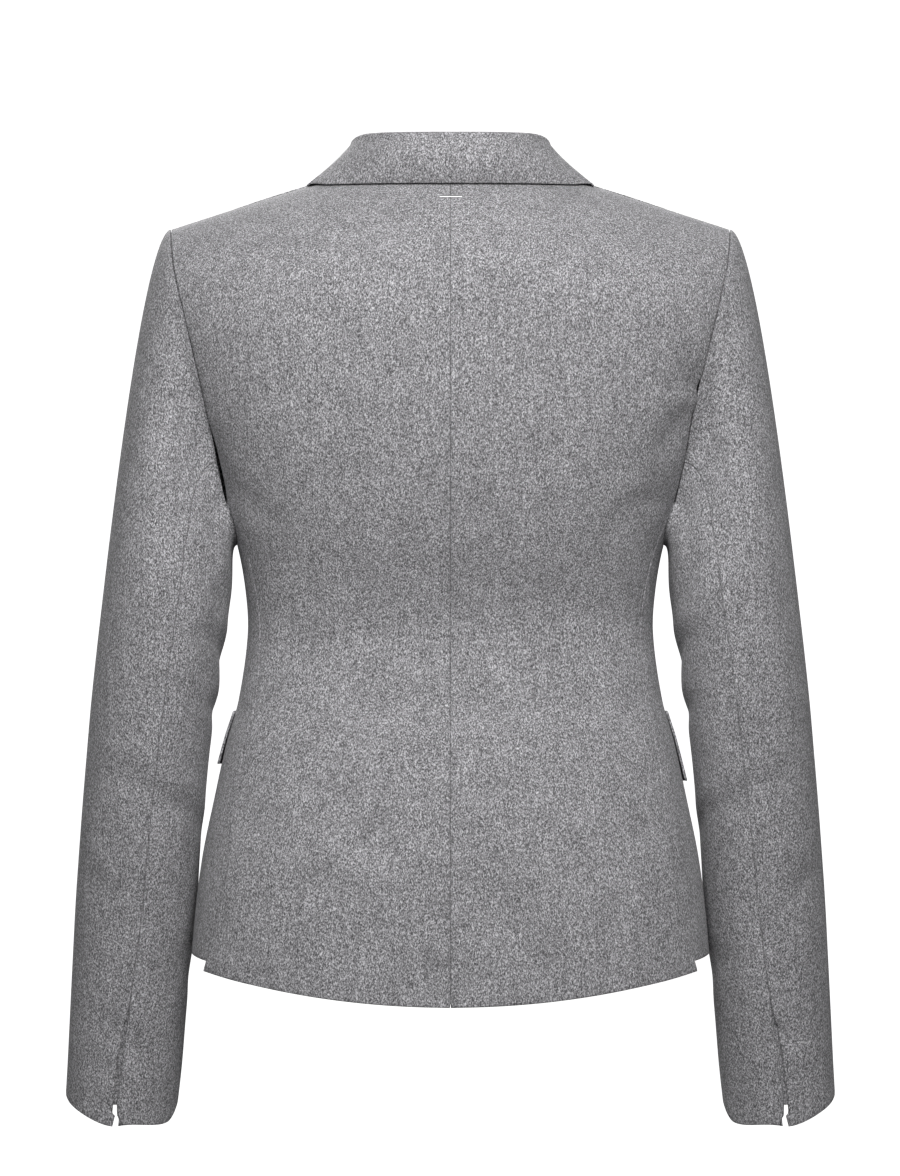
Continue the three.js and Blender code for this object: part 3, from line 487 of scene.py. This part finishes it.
def side_panel(side):
    columns, rows = 30, 96
    share = np.linspace(0, 1, columns + 1)[None, :]
    down = np.linspace(0, 1, rows + 1)[:, None]
    top = underarm_z(share)
    hem = mix(HEM["vent"] + HEM["vent_step"], HEM["side"], smooth(share, 0, 0.7))
    z = mix(top, hem, down)
    under = VENT["underlap"] * smooth(-z, -VENT["top"], -VENT["full"])
    seam_x = read(SIDE_SEAMS, "z", "back", z) * half_width(z) - under
    start = angle_at(seam_x, z, True)
    angle = mix(start, side_seam(z, False), share)
    points, normals = at(side, angle, z)
    rounds = (SEAM_ROUND, FOLD_ROUND, SEAM_ROUND, SEAM_ROUND)
    return wall(f"side_cloth_{WORD[side]}", points, normals, CLOTH, rounds)


def under_depth(side, x, z):
    if side == RIGHT:
        return np.zeros_like(x)
    reach = smooth(-x, -UNDER_REACH["none"], -UNDER_REACH["full"])
    return read(UNDER_FRONT, "z", "depth", z) * reach


def front_at(side, angle, z, out=0):
    x = body(side, angle, z)[..., 0] * side
    points, normals = at(side, angle, z, out - under_depth(side, x, z))
    dent = creased(x, z, FRONT_CREASES, "x0", "x1") * smooth(x, 8, 40)
    return points + normals * dent[..., None], normals


def front_panel(side):
    columns, upper, lower = 52, 88, 76
    share = np.linspace(0, 1, columns + 1)[None, :]
    step = np.linspace(0, 1, upper + 1)[:, None] ** 1.15 * FRONT_ROWS["step"][-1]
    neck_z, tip_z = ridge_z(SHOULDER["neck_x"]), ridge_z(SHOULDER["tip_x"])
    top_x = mix(SHOULDER["neck_x"], SHOULDER["tip_x"], share)
    top_z = ridge_z(top_x)
    top_angle = angle_at(top_x, top_z, False)
    inner_z = read(FRONT_ROWS, "step", "inner", step)
    outer_z = read(FRONT_ROWS, "step", "outer", step)
    inner_z[0], outer_z[0] = neck_z, tip_z
    armhole_end = ARMHOLE["step"][-1]
    above = step <= armhole_end
    outer_angle = np.where(above, armhole_angle(outer_z, False), side_seam(outer_z, False))
    fade = (1 - smooth(step / armhole_end, -0.6, 1)) ** 1.5
    fade[0] = 1
    bend_angle = (top_angle - mix(top_angle[:, :1], top_angle[:, -1:], share)) * fade
    bend_z = (top_z - mix(neck_z, tip_z, share)) * fade
    angle = mix(front_border(inner_z), outer_angle, share) + bend_angle
    z = mix(inner_z, outer_z, share) + bend_z
    down = np.linspace(0, 1, lower + 1)[1:, None]
    low_inner = mix(LOW_FRONT_Z, FRONT_EDGE["z"][-1], down**0.97)
    low_outer = mix(LOW_FRONT_Z, HEM["side"], down)
    low_angle = mix(front_border(low_inner), side_seam(low_outer, False), share)
    low_z = mix(low_inner, low_outer, share) - (1 - share) * share * HEM["front_sag"] * down**3
    points, normals = front_at(side, np.concatenate([angle, low_angle]), np.concatenate([z, low_z]))
    rounds = (SEAM_ROUND, FOLD_ROUND, FOLD_ROUND, SEAM_ROUND)
    return wall(f"front_cloth_{WORD[side]}", points, normals, CLOTH, rounds)


def lapel(side):
    across = 34
    out = SEAM + FACING
    up = np.linspace(0, 1, 97)[:, None]
    low = LAPEL_EDGE["z"][0]
    inner_z = mix(low - 3, ROLL["gorge_z"], up)
    outer_z = mix(low, LAPEL_EDGE["z"][-1], up)
    inner_x, outer_x = roll_x(inner_z), read(LAPEL_EDGE, "z", "x", outer_z)
    lift = mix(0.4, LAPEL_LIFT, smooth(up, 0.1, 0.5))
    border, normal = front_at(side, front_border(inner_z), inner_z)
    away = np.broadcast_to(np.array([-side, 0.0, 0.0]), border.shape)
    away = unit(away - normal * dot(away, normal))
    share = np.linspace(0.06, 1, across)[None, :]
    x, z = mix(inner_x, outer_x, share), mix(inner_z, outer_z, share)
    height = out + lift * (1 - share) ** 1.5 + 0.25 * np.sin(np.pi * share)
    flat, _ = front_at(side, angle_at(x, z, False), z, height)
    rise = lift[..., None]
    knots = [
        border + away * out - normal * CLOTH,
        border + away * out * 1.02 - normal * 0.2 * out,
        border + away * out * 0.95 + normal * 0.7 * out,
        border + away * out * 0.55 + normal * (out + 0.5 * rise),
        border + away * out * 0.1 + normal * (out + 0.85 * rise),
    ]
    points = np.concatenate([*knots, flat], axis=1)
    rounds = (FOLD_ROUND, FOLD_ROUND, SEAM_ROUND, FOLD_ROUND)
    return wall(f"lapel_cloth_{WORD[side]}", points, grid_normals(points, side), FACING, rounds)


# ---- Collar ----
def collar_seam(side, k):
    if k <= NECK_COLUMNS:
        angle, z = neck_back(np.array(k / NECK_COLUMNS))
        return at(side, angle, z)
    z = read(COLLAR_ROWS, "seam", "seam_z", k)
    return front_at(side, front_border(z), z)


def collar_value(name, k):
    return float(read(COLLAR_ROWS, "seam", name, k))


def collar_place(side, line, k):
    x, y, z = (collar_value(f"{line}_{axis}", k) for axis in "xyz")
    return np.array([side * x, y, z])


def collar_fold(side, k):
    k = np.clip(k, 0, COLLAR_END)
    return collar_place(side, "fold", k)


def across_of(v, direction):
    """The part of v across a unit direction."""
    return v - direction * np.dot(v, direction)


def collar_section(side, k):
    seam, seam_normal = collar_seam(side, k)
    fold = collar_fold(side, k)
    along = np.array([side, 0.0, 0.0])
    if k > 0:
        along = unit(collar_fold(side, k + 0.5) - collar_fold(side, k - 0.5))
    edge_x, edge_z = collar_value("edge_x", k), collar_value("edge_z", k)
    clear = COLLAR_CLEAR + RIDGE_CLEAR * smooth(1.5 - abs(k - NECK_COLUMNS), 0, 1)
    edge, _ = at(side, angle_at(edge_x, edge_z, k <= NECK_COLUMNS), edge_z, clear + COLLAR_EDGE)
    mid = collar_place(side, "mid", k)
    outward = unit(across_of(mid - fold if k <= NECK_COLUMNS else edge - seam, along))
    upward = unit(np.cross(outward, along))
    if np.dot(upward, seam_normal) < 0:
        upward = -upward
    upright = unit(across_of(UP, along))
    upward = unit(mix(upward, upright, 1 - float(smooth(k, 6, 9))))
    outward = unit(across_of(outward, upward))
    turns = np.radians(np.arange(180, -1, -12))[:, None]
    on_fold = fold + COLLAR_FOLD_RADIUS * (outward * np.cos(turns) + upward * np.sin(turns))
    root = seam - seam_normal * COLLAR
    rise = unit(on_fold[0] - root)
    before, _ = collar_seam(side, max(k - 0.1, 0))
    after, _ = collar_seam(side, min(k + 0.1, COLLAR_END))
    into = unit(np.cross(after - before, seam_normal))
    if np.dot(into, NECK_MIDDLE - seam * [1, 1, 0]) < 0:
        into = -into
    lean = math.sqrt(1 - min(1, np.dot(into, rise) ** 2))
    root = root + into * (SEAM + COLLAR * lean)
    stand = mix(root, on_fold[0], np.linspace(0, 0.93, 12)[:, None])
    s = np.linspace(0, 1, 25)[1:, None]
    fall = on_fold[-1] * (2 * s * s - 3 * s + 1) + mid * (4 * s - 4 * s * s) + edge * (2 * s * s - s)
    return np.concatenate([stand, on_fold, fall])


def collar():
    places = np.linspace(0, COLLAR_END, 91)
    halves = [[collar_section(side, k) for k in places] for side in (RIGHT, LEFT)]
    points = np.array([*halves[0][:0:-1], *halves[1]])
    rounds = (FOLD_ROUND, FOLD_ROUND, SEAM_ROUND, FOLD_ROUND)
    thickness = mix(COLLAR, COLLAR_EDGE, smooth(np.linspace(0, 1, points.shape[1]), 0.6, 1))[None, :]
    return wall("collar_cloth", points, grid_normals(points, 1), thickness, rounds)


# ---- Sleeves ----
def armhole_ring(side):
    """Points round the armhole, from the shoulder tip down the back, under the arm and up the front."""
    down = np.linspace(0, 1, ARMHOLE_COLUMNS + 1)
    z = armhole_z(down)
    z[0] = ridge_z(SHOULDER["tip_x"])
    under = (1 - np.cos(np.linspace(0, np.pi, 37)[1:-1])) / 2
    bend_z = underarm_z(under)
    under_angle = mix(side_seam(bend_z, True), side_seam(bend_z, False), under)
    front_z = z[:0:-1]
    angles = np.concatenate([armhole_angle(z, True), under_angle, armhole_angle(front_z, False)])
    heights = np.concatenate([z, bend_z, front_z])
    marks = (SEAM_COLUMN, len(heights) // 2, len(heights) - SEAM_COLUMN)
    return (*at(side, angles, heights), marks)


def sleeve_turn(angle, z):
    """The angle of a column of the sleeve at a height, once the back seam has turned outwards."""
    back, front = SLEEVE_SEAMS["back_angle"], SLEEVE_SEAMS["front_angle"]
    share = np.where(angle < back, smooth(angle, 0, back), 1 - smooth(angle, back, front))
    return angle + read(SEAM_TURN, "z", "turn", z) * share


def sleeve_point(side, angle, z):
    outer = read(SLEEVE, "z", "outer", z)
    inner = read(SLEEVE, "z", "inner", z)
    turn = np.radians(sleeve_turn(angle, z))
    x = (outer + inner) / 2 + (outer - inner) / 2 * signed_power(np.cos(turn), SLEEVE_POWER)
    y = read(SLEEVE, "z", "y", z) + read(SLEEVE, "z", "depth", z) * signed_power(np.sin(turn), SLEEVE_POWER)
    x, y, z = np.broadcast_arrays(side * x, y, z)
    return np.stack([x, y, z], axis=-1)


def tube_normals(points, first, side):
    """Normals of a grid that closes on itself, with those of its first row given."""
    wrapped = np.concatenate([points[:, -1:], points, points[:, :1]], axis=1)
    normals = grid_normals(wrapped, side)[:, 1:-1]
    normals[0] = first
    return normals


def sleeve_cloth(side):
    """The whole sleeve as one grid of rows and columns, with the columns at its two seams."""
    ring, normals, (back_mark, under_mark, front_mark) = armhole_ring(side)
    count = len(ring)
    along = unit(np.roll(ring, -1, 0) - np.roll(ring, 1, 0))
    along = unit(along - normals * dot(along, normals))
    into = unit(np.cross(along, normals) * side)
    closed = np.concatenate([ring, ring[:1]])
    length = np.concatenate([[0], np.cumsum(np.linalg.norm(np.diff(closed, axis=0), axis=1))])
    marks = [0, back_mark, under_mark, front_mark, count]
    turns = [0, SLEEVE_SEAMS["back_angle"], 180, SLEEVE_SEAMS["front_angle"], 360]
    angle = np.interp(length, length[marks], turns)[:-1]
    drop = (ARMHOLE["z"][0] - ring[:, 2]) / (ARMHOLE["z"][0] - UNDERARM["low"])
    tilt = np.radians(mix(14, 90, smooth(drop, 0.5, 1)))[:, None]
    leave = into * np.cos(tilt) + normals * np.sin(tilt)
    start_normal = normals * np.cos(tilt) - into * np.sin(tilt)
    end = sleeve_point(side, angle, BICEP_Z)
    arrive = unit(sleeve_point(side, angle, BICEP_Z - 10) - end)
    reach = np.linalg.norm(end - ring, axis=1)[:, None]
    first = mix(mix(14, 24, smooth(drop, 0, 0.4)), 6, smooth(drop, 0.6, 1))[:, None]
    second = ring + leave * first
    third = end - arrive * 0.55 * reach
    t = (np.linspace(0, 1, 53) ** 1.35)[:, None, None]
    head = ring * (1 - t) ** 3 + 3 * second * t * (1 - t) ** 2 + 3 * third * t**2 * (1 - t) + end * t**3
    hem = read(CUFF, "angle", "z", sleeve_turn(angle, CUFF["z"][0]))
    down = np.linspace(0, 1, 101)[1:, None]
    arm = sleeve_point(side, angle[None, :], mix(BICEP_Z, hem, down))
    points = np.concatenate([head, arm])
    dent = creased(angle[None, :], points[..., 2], SLEEVE_CREASES, "a0", "a1")
    dent *= smooth(np.linspace(0, 1, len(points)), 0, 0.12)[:, None]
    points = points + tube_normals(points, start_normal, side) * dent[..., None]
    return points, tube_normals(points, start_normal, side), back_mark, front_mark


def open_slit(points, column, neighbour):
    """Opens the cuff slit: an edge column moves away from the seam towards the hem."""
    edge = points[:, column]
    width = CUFF_SLIT["width"] * smooth(-edge[:, 2], -CUFF_SLIT["top"], -CUFF_SLIT["full"])
    notch = CUFF_SLIT["notch"] * smooth(-edge[:, 2], -CUFF_SLIT["notch_top"], -CUFF_SLIT["hem"])
    points[:, column] = edge + unit(points[:, neighbour] - edge) * ((width + notch) / 2)[:, None]
    return points


def sleeves(side):
    """The top sleeve, the under sleeve, and the lap of the cuff vent behind its slit."""
    points, normals, back_mark, front_mark = sleeve_cloth(side)
    count = points.shape[1]
    top = [*range(front_mark, count), *range(0, back_mark + 1)]
    under = list(range(back_mark, front_mark + 1))
    lap = list(range(back_mark - CUFF_LAP["reach"], back_mark + CUFF_LAP["reach"]))
    rounds = (ARMHOLE_ROUND, FOLD_ROUND, SEAM_ROUND, SEAM_ROUND)
    upper = open_slit(points[:, top].copy(), -1, -2)
    lower = open_slit(points[:, under].copy(), 0, 1)
    heights = points[:, back_mark, 2]
    rows = np.where((heights < CUFF_LAP["top"]) & (heights > CUFF_LAP["end"]))[0]
    behind = (points - normals * (CLOTH + CUFF_LAP["clear"]))[rows][:, lap]
    lap_rounds = [CUFF_LAP["round"]] * 4
    return (
        wall(f"top_sleeve_cloth_{WORD[side]}", upper, normals[:, top], CLOTH, rounds),
        wall(f"under_sleeve_cloth_{WORD[side]}", lower, normals[:, under], CLOTH, rounds),
        wall(f"cuff_lap_{WORD[side]}", behind, normals[rows][:, lap], CUFF_LAP["thick"], lap_rounds),
    )


# ---- Flaps, button and bar ----
def flap(side):
    down = np.linspace(0, 1, 17)[:, None]
    share = np.linspace(0, 1, 61)[None, :]
    z = FLAP["top"] - FLAP[WORD[side]] * down + 0 * share
    end = angle_at(half_width(z) * FLAP["end_share"], z, False)
    angle = mix(math.radians(FLAP["start"]), end, share)
    flare = FLAP["lift"] * down**1.5 * (0.7 + 0.3 * np.cos(7 * share))
    out = FLAP["clear"] + FACING + flare
    points, normals = at(side, angle, z, out)
    rounds = (SEAM_ROUND, FOLD_ROUND, FOLD_ROUND, FOLD_ROUND)
    return wall(f"flap_cloth_{WORD[side]}", points, normals, FACING, rounds)


def lathe(name, profile, turns, slot):
    """A turned solid from (radius, height) points that start and end on the axis."""
    vertices, faces = [(0, 0, profile[0][1])], []
    rings = profile[1:-1]
    for radius, height in rings:
        for i in range(turns):
            swing = 2 * math.pi * i / turns
            vertices.append((radius * math.cos(swing), radius * math.sin(swing), height))
    vertices.append((0, 0, profile[-1][1]))
    last = len(vertices) - 1
    for i in range(turns):
        after = (i + 1) % turns
        faces.append((0, 1 + after, 1 + i))
        for r in range(len(rings) - 1):
            low, high = 1 + r * turns, 1 + (r + 1) * turns
            faces.append((low + i, low + after, high + after, high + i))
        top = 1 + (len(rings) - 1) * turns
        faces.append((top + i, top + after, last))
    return mesh_object(name, vertices, faces, slot)


def front_button():
    """The button with its four holes. It gives its seat on the cloth and how it is turned."""
    profile = [
        (across * BUTTON["radius"], up * BUTTON["thick"])
        for across, up in zip(BUTTON_PROFILE["radius"], BUTTON_PROFILE["height"])
    ]
    piece = lathe("button_turned", profile, 64, "horn")
    cutters = []
    for i in range(4):
        swing = math.pi / 4 + i * math.pi / 2
        bpy.ops.mesh.primitive_cylinder_add(vertices=20, radius=BUTTON["hole"] * MM, depth=8 * MM)
        cutter = bpy.context.object
        cutter.location = Vector((math.cos(swing), math.sin(swing), 0)) * BUTTON["hole_ring"] * MM
        cutter.location.z = 1.5 * MM
        cutters.append(cutter)
    bpy.context.view_layer.update()
    for cutter in cutters:
        cut = piece.modifiers.new("hole", "BOOLEAN")
        cut.object, cut.operation = cutter, "DIFFERENCE"
        bpy.context.view_layer.objects.active = piece
        bpy.ops.object.modifier_apply(modifier=cut.name)
        bpy.data.objects.remove(cutter)
    seat, normal = at(RIGHT, np.array(math.pi), np.array(float(BUTTON["z"])), BUTTON["clear"])
    turn = Vector((0, 0, 1)).rotation_difference(Vector(normal)).to_matrix().to_4x4()
    piece.data.transform(turn)
    for vertex in piece.data.vertices:
        vertex.co += Vector(seat * MM)
    piece.data.shade_smooth()
    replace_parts(piece, "front_button")
    return Vector(seat * MM), turn


def button_thread(seat, turn):
    """Two crossed loops of thread between the holes of the button."""
    ring = BUTTON["hole_ring"]
    for i in range(2):
        swing = math.pi / 4 + i * math.pi / 2
        curve = bpy.data.curves.new(f"button_thread_{i}", "CURVE")
        curve.dimensions = "3D"
        curve.bevel_depth = BUTTON["thread"] * MM
        curve.bevel_resolution = 3
        spline = curve.splines.new("BEZIER")
        spline.bezier_points.add(2)
        stations = ((-ring, 1.0), (0, 3.0 + 0.3 * i), (ring, 1.0))
        for point, (along, height) in zip(spline.bezier_points, stations):
            flat = Vector((along * math.cos(swing), along * math.sin(swing), height)) * MM
            point.co = turn @ flat + seat
            point.handle_left_type = point.handle_right_type = "AUTO"
        thread = bpy.data.objects.new(f"button_thread_{i}", curve)
        bpy.context.scene.collection.objects.link(thread)
        curve.materials.append(MATERIALS["horn"])
        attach(thread, "root")


def neck_bar():
    share = np.linspace(-0.5, 0.5, 41)
    up = np.linspace(0.5, -0.5, 7)[:, None]
    x = NECK_BAR["length"] * share
    z = NECK_BAR["z"] + NECK_BAR["height"] * up + 0 * x
    out = np.full_like(z, NECK_BAR["clear"] + NECK_BAR["thick"])
    halves = []
    for side, part in ((RIGHT, x < 0), (LEFT, x >= 0)):
        angle = angle_at(np.abs(x[part]), z[:, part], True)
        halves.append(at(side, angle, z[:, part], out[:, part]))
    points = np.concatenate([half[0] for half in halves], axis=1)
    normals = np.concatenate([half[1] for half in halves], axis=1)
    return wall("neck_bar_bright", points, normals, NECK_BAR["thick"], [NECK_BAR["round"]] * 4, "steel")


# ---- Materials ----
def start_material(name):
    """A new material, with its node tree and its shader."""
    material = bpy.data.materials.new(name)
    material.use_nodes = True
    return material, material.node_tree, material.node_tree.nodes["Principled BSDF"]


def noise(tree, scale, detail=2, rough=0.5, stretch=(1, 1, 1), turn=(0, 0, 0)):
    """Noise in the object's own space: scale in cells to the metre, shrunk along each axis by stretch."""
    place = tree.nodes.new("ShaderNodeTexCoord")
    mapping = tree.nodes.new("ShaderNodeMapping")
    mapping.inputs["Scale"].default_value = stretch
    mapping.inputs["Rotation"].default_value = turn
    texture = tree.nodes.new("ShaderNodeTexNoise")
    texture.inputs["Scale"].default_value = scale
    texture.inputs["Detail"].default_value = detail
    texture.inputs["Roughness"].default_value = rough
    tree.links.new(place.outputs["Object"], mapping.inputs["Vector"])
    tree.links.new(mapping.outputs["Vector"], texture.inputs["Vector"])
    return texture.outputs["Fac"]


def ramp(tree, source, stops):
    """Colours by value: stops are pairs of a position and a colour."""
    made = tree.nodes.new("ShaderNodeValToRGB")
    first, last = made.color_ramp.elements
    first.position, first.color = stops[0][0], (*stops[0][1], 1)
    last.position, last.color = stops[-1][0], (*stops[-1][1], 1)
    for position, colour in stops[1:-1]:
        made.color_ramp.elements.new(position).color = (*colour, 1)
    tree.links.new(source, made.inputs["Fac"])
    return made.outputs["Color"]


def shades(tree, source, low, high, dark, light):
    """Grey factors from dark to light as the value goes from low to high."""
    return ramp(tree, source, [(low, (dark,) * 3), (high, (light,) * 3)])


def multiplied(tree, first, second):
    made = tree.nodes.new("ShaderNodeMix")
    made.data_type, made.blend_type = "RGBA", "MULTIPLY"
    made.inputs["Factor"].default_value = 1.0
    tree.links.new(first, made.inputs["A"])
    tree.links.new(second, made.inputs["B"])
    return made.outputs["Result"]


def wool_material():
    """Mottled grey flannel: light and dark fibres blended in the yarn, with faint rows and a nap."""
    material, tree, shader = start_material("wool")
    colour = ramp(
        tree,
        noise(tree, 1100, 3, 0.8, (1, 1, 0.62), (0.0, 0.45, 0.0)),
        [(0.38, (0.055, 0.054, 0.057)), (0.5, (0.195, 0.192, 0.2)), (0.62, (0.50, 0.495, 0.515))],
    )
    fibres = shades(tree, noise(tree, 1500, 2, 0.6, (1, 1, 0.35)), 0.32, 0.68, 0.62, 1.35)
    rows = shades(tree, noise(tree, 300, 1, 0.5, (1, 1, 0.08)), 0.3, 0.7, 0.9, 1.1)
    clouds = shades(tree, noise(tree, 45, 2, 0.5), 0.3, 0.7, 0.93, 1.07)
    for layer in (fibres, rows, clouds):
        colour = multiplied(tree, colour, layer)
    tree.links.new(colour, shader.inputs["Base Color"])
    shader.inputs["Roughness"].default_value = 0.92
    shader.inputs["Specular IOR Level"].default_value = 0.18
    shader.inputs["Sheen Weight"].default_value = 0.12
    shader.inputs["Sheen Roughness"].default_value = 0.6
    bump = tree.nodes.new("ShaderNodeBump")
    bump.inputs["Strength"].default_value = 0.35
    bump.inputs["Distance"].default_value = 0.0006
    tree.links.new(noise(tree, 800, 3, 0.7), bump.inputs["Height"])
    tree.links.new(bump.outputs["Normal"], shader.inputs["Normal"])
    return material


def horn_material():
    """Dark streaked horn, satin."""
    material, tree, shader = start_material("horn")
    streaks = noise(tree, 220, 4)
    colour = ramp(tree, streaks, [(0.35, (0.035, 0.033, 0.036)), (0.7, (0.12, 0.11, 0.11))])
    tree.links.new(colour, shader.inputs["Base Color"])
    shader.inputs["Roughness"].default_value = 0.38
    return material


def steel_material():
    """Bright brushed metal."""
    material, tree, shader = start_material("steel")
    colour = ramp(tree, noise(tree, 2500), [(0, (0.82, 0.82, 0.83)), (1, (0.95, 0.95, 0.96))])
    tree.links.new(colour, shader.inputs["Base Color"])
    shader.inputs["Metallic"].default_value = 1.0
    shader.inputs["Roughness"].default_value = 0.34
    return material


MATERIALS = {"wool": wool_material(), "horn": horn_material(), "steel": steel_material()}

# ---- The studio: camera, floor and lights ----
# The camera looks square at the back. Its view is height millimetres high at the middle of the blazer.
VIEW = dict(x=0.3, z=-297.5, height=835, distance=12000, sensor=24, clip_end=50)
# In metres: the floor is far enough below for no edge of the blazer to touch it.
FLOOR = dict(radius=1.6, below=0.28, glow=0.62)
BACKDROP = dict(radius=24, glow=1.0)
# In metres and watts: the key stands above the back, the fill beside it, and the last lights the front.
LIGHTS = dict(
    key=dict(place=(-0.12, 1.8, 0.95), aim_z=-0.25, size=1.0, power=58),
    fill=dict(place=(1.9, 2.6, 0.5), aim_z=-0.3, size=1.6, power=11),
    front=dict(place=(0.5, -2.4, 1.3), aim_z=-0.3, size=1.6, power=70),
)
WORLD_STRENGTH = 0.2


def add_camera():
    camera = bpy.data.objects.new("camera", bpy.data.cameras.new("camera"))
    bpy.context.scene.collection.objects.link(camera)
    camera.location = Vector((VIEW["x"], VIEW["distance"], VIEW["z"])) * MM
    camera.rotation_euler = (math.pi / 2, 0, math.pi)
    camera.data.sensor_fit = "VERTICAL"
    camera.data.sensor_height = VIEW["sensor"]
    camera.data.lens = VIEW["sensor"] * VIEW["distance"] / VIEW["height"]
    camera.data.clip_end = VIEW["clip_end"]
    bpy.context.scene.camera = camera


def add_surroundings():
    """The pale floor and backdrop, which neither light nor shade the blazer."""
    bpy.ops.mesh.primitive_circle_add(vertices=64, radius=FLOOR["radius"], fill_type="NGON")
    floor = bpy.context.object
    floor.name = "floor"
    floor.location.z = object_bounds()[0][2] - FLOOR["below"]
    bpy.ops.mesh.primitive_uv_sphere_add(segments=48, ring_count=24, radius=BACKDROP["radius"])
    backdrop = bpy.context.object
    backdrop.name = "backdrop"
    for piece, glow in ((floor, FLOOR["glow"]), (backdrop, BACKDROP["glow"])):
        pale, _, shader = start_material(piece.name)
        shader.inputs["Base Color"].default_value = (0.9, 0.9, 0.9, 1)
        shader.inputs["Roughness"].default_value = 0.9
        shader.inputs["Emission Color"].default_value = (1, 1, 1, 1)
        shader.inputs["Emission Strength"].default_value = glow
        piece.data.materials.append(pale)
        piece.visible_diffuse = piece.visible_glossy = piece.visible_shadow = False


def add_light(name, place, aim_z, size, power):
    data = bpy.data.lights.new(name, "AREA")
    data.size, data.energy = size, power
    light = bpy.data.objects.new(name, data)
    light.location = place
    light.rotation_euler = (Vector((0, 0, aim_z)) - Vector(place)).to_track_quat("-Z", "Y").to_euler()
    bpy.context.scene.collection.objects.link(light)


def studio():
    add_camera()
    add_surroundings()
    for name, light in LIGHTS.items():
        add_light(name, **light)
    world = bpy.data.worlds.new("world")
    world.use_nodes = True
    world.node_tree.nodes["Background"].inputs["Color"].default_value = (1, 1, 1, 1)
    world.node_tree.nodes["Background"].inputs["Strength"].default_value = WORLD_STRENGTH
    bpy.context.scene.world = world
    bpy.context.scene.view_settings.view_transform = "Standard"


# ---- The blazer ----
def sheet(piece, node_name):
    """Hides the imported part that the piece stands in for."""
    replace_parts(piece, node_name)


def build():
    for side in (LEFT, RIGHT):
        word = WORD[side]
        sheet(back_panel(side), f"back_{word}")
        sheet(side_panel(side), f"side_{word}")
        sheet(front_panel(side), f"front_{word}")
        sheet(lapel(side), f"lapel_{word}")
        top, under, lap = sleeves(side)
        sheet(top, f"top_sleeve_{word}")
        sheet(under, f"under_sleeve_{word}")
        sheet(lap, f"under_sleeve_{word}")
        sheet(flap(side), f"pocket_flap_{word}")
    sheet(collar(), "collar")
    seat, turn = front_button()
    button_thread(seat, turn)
    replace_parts(neck_bar(), "neck_bar")


studio()
build()
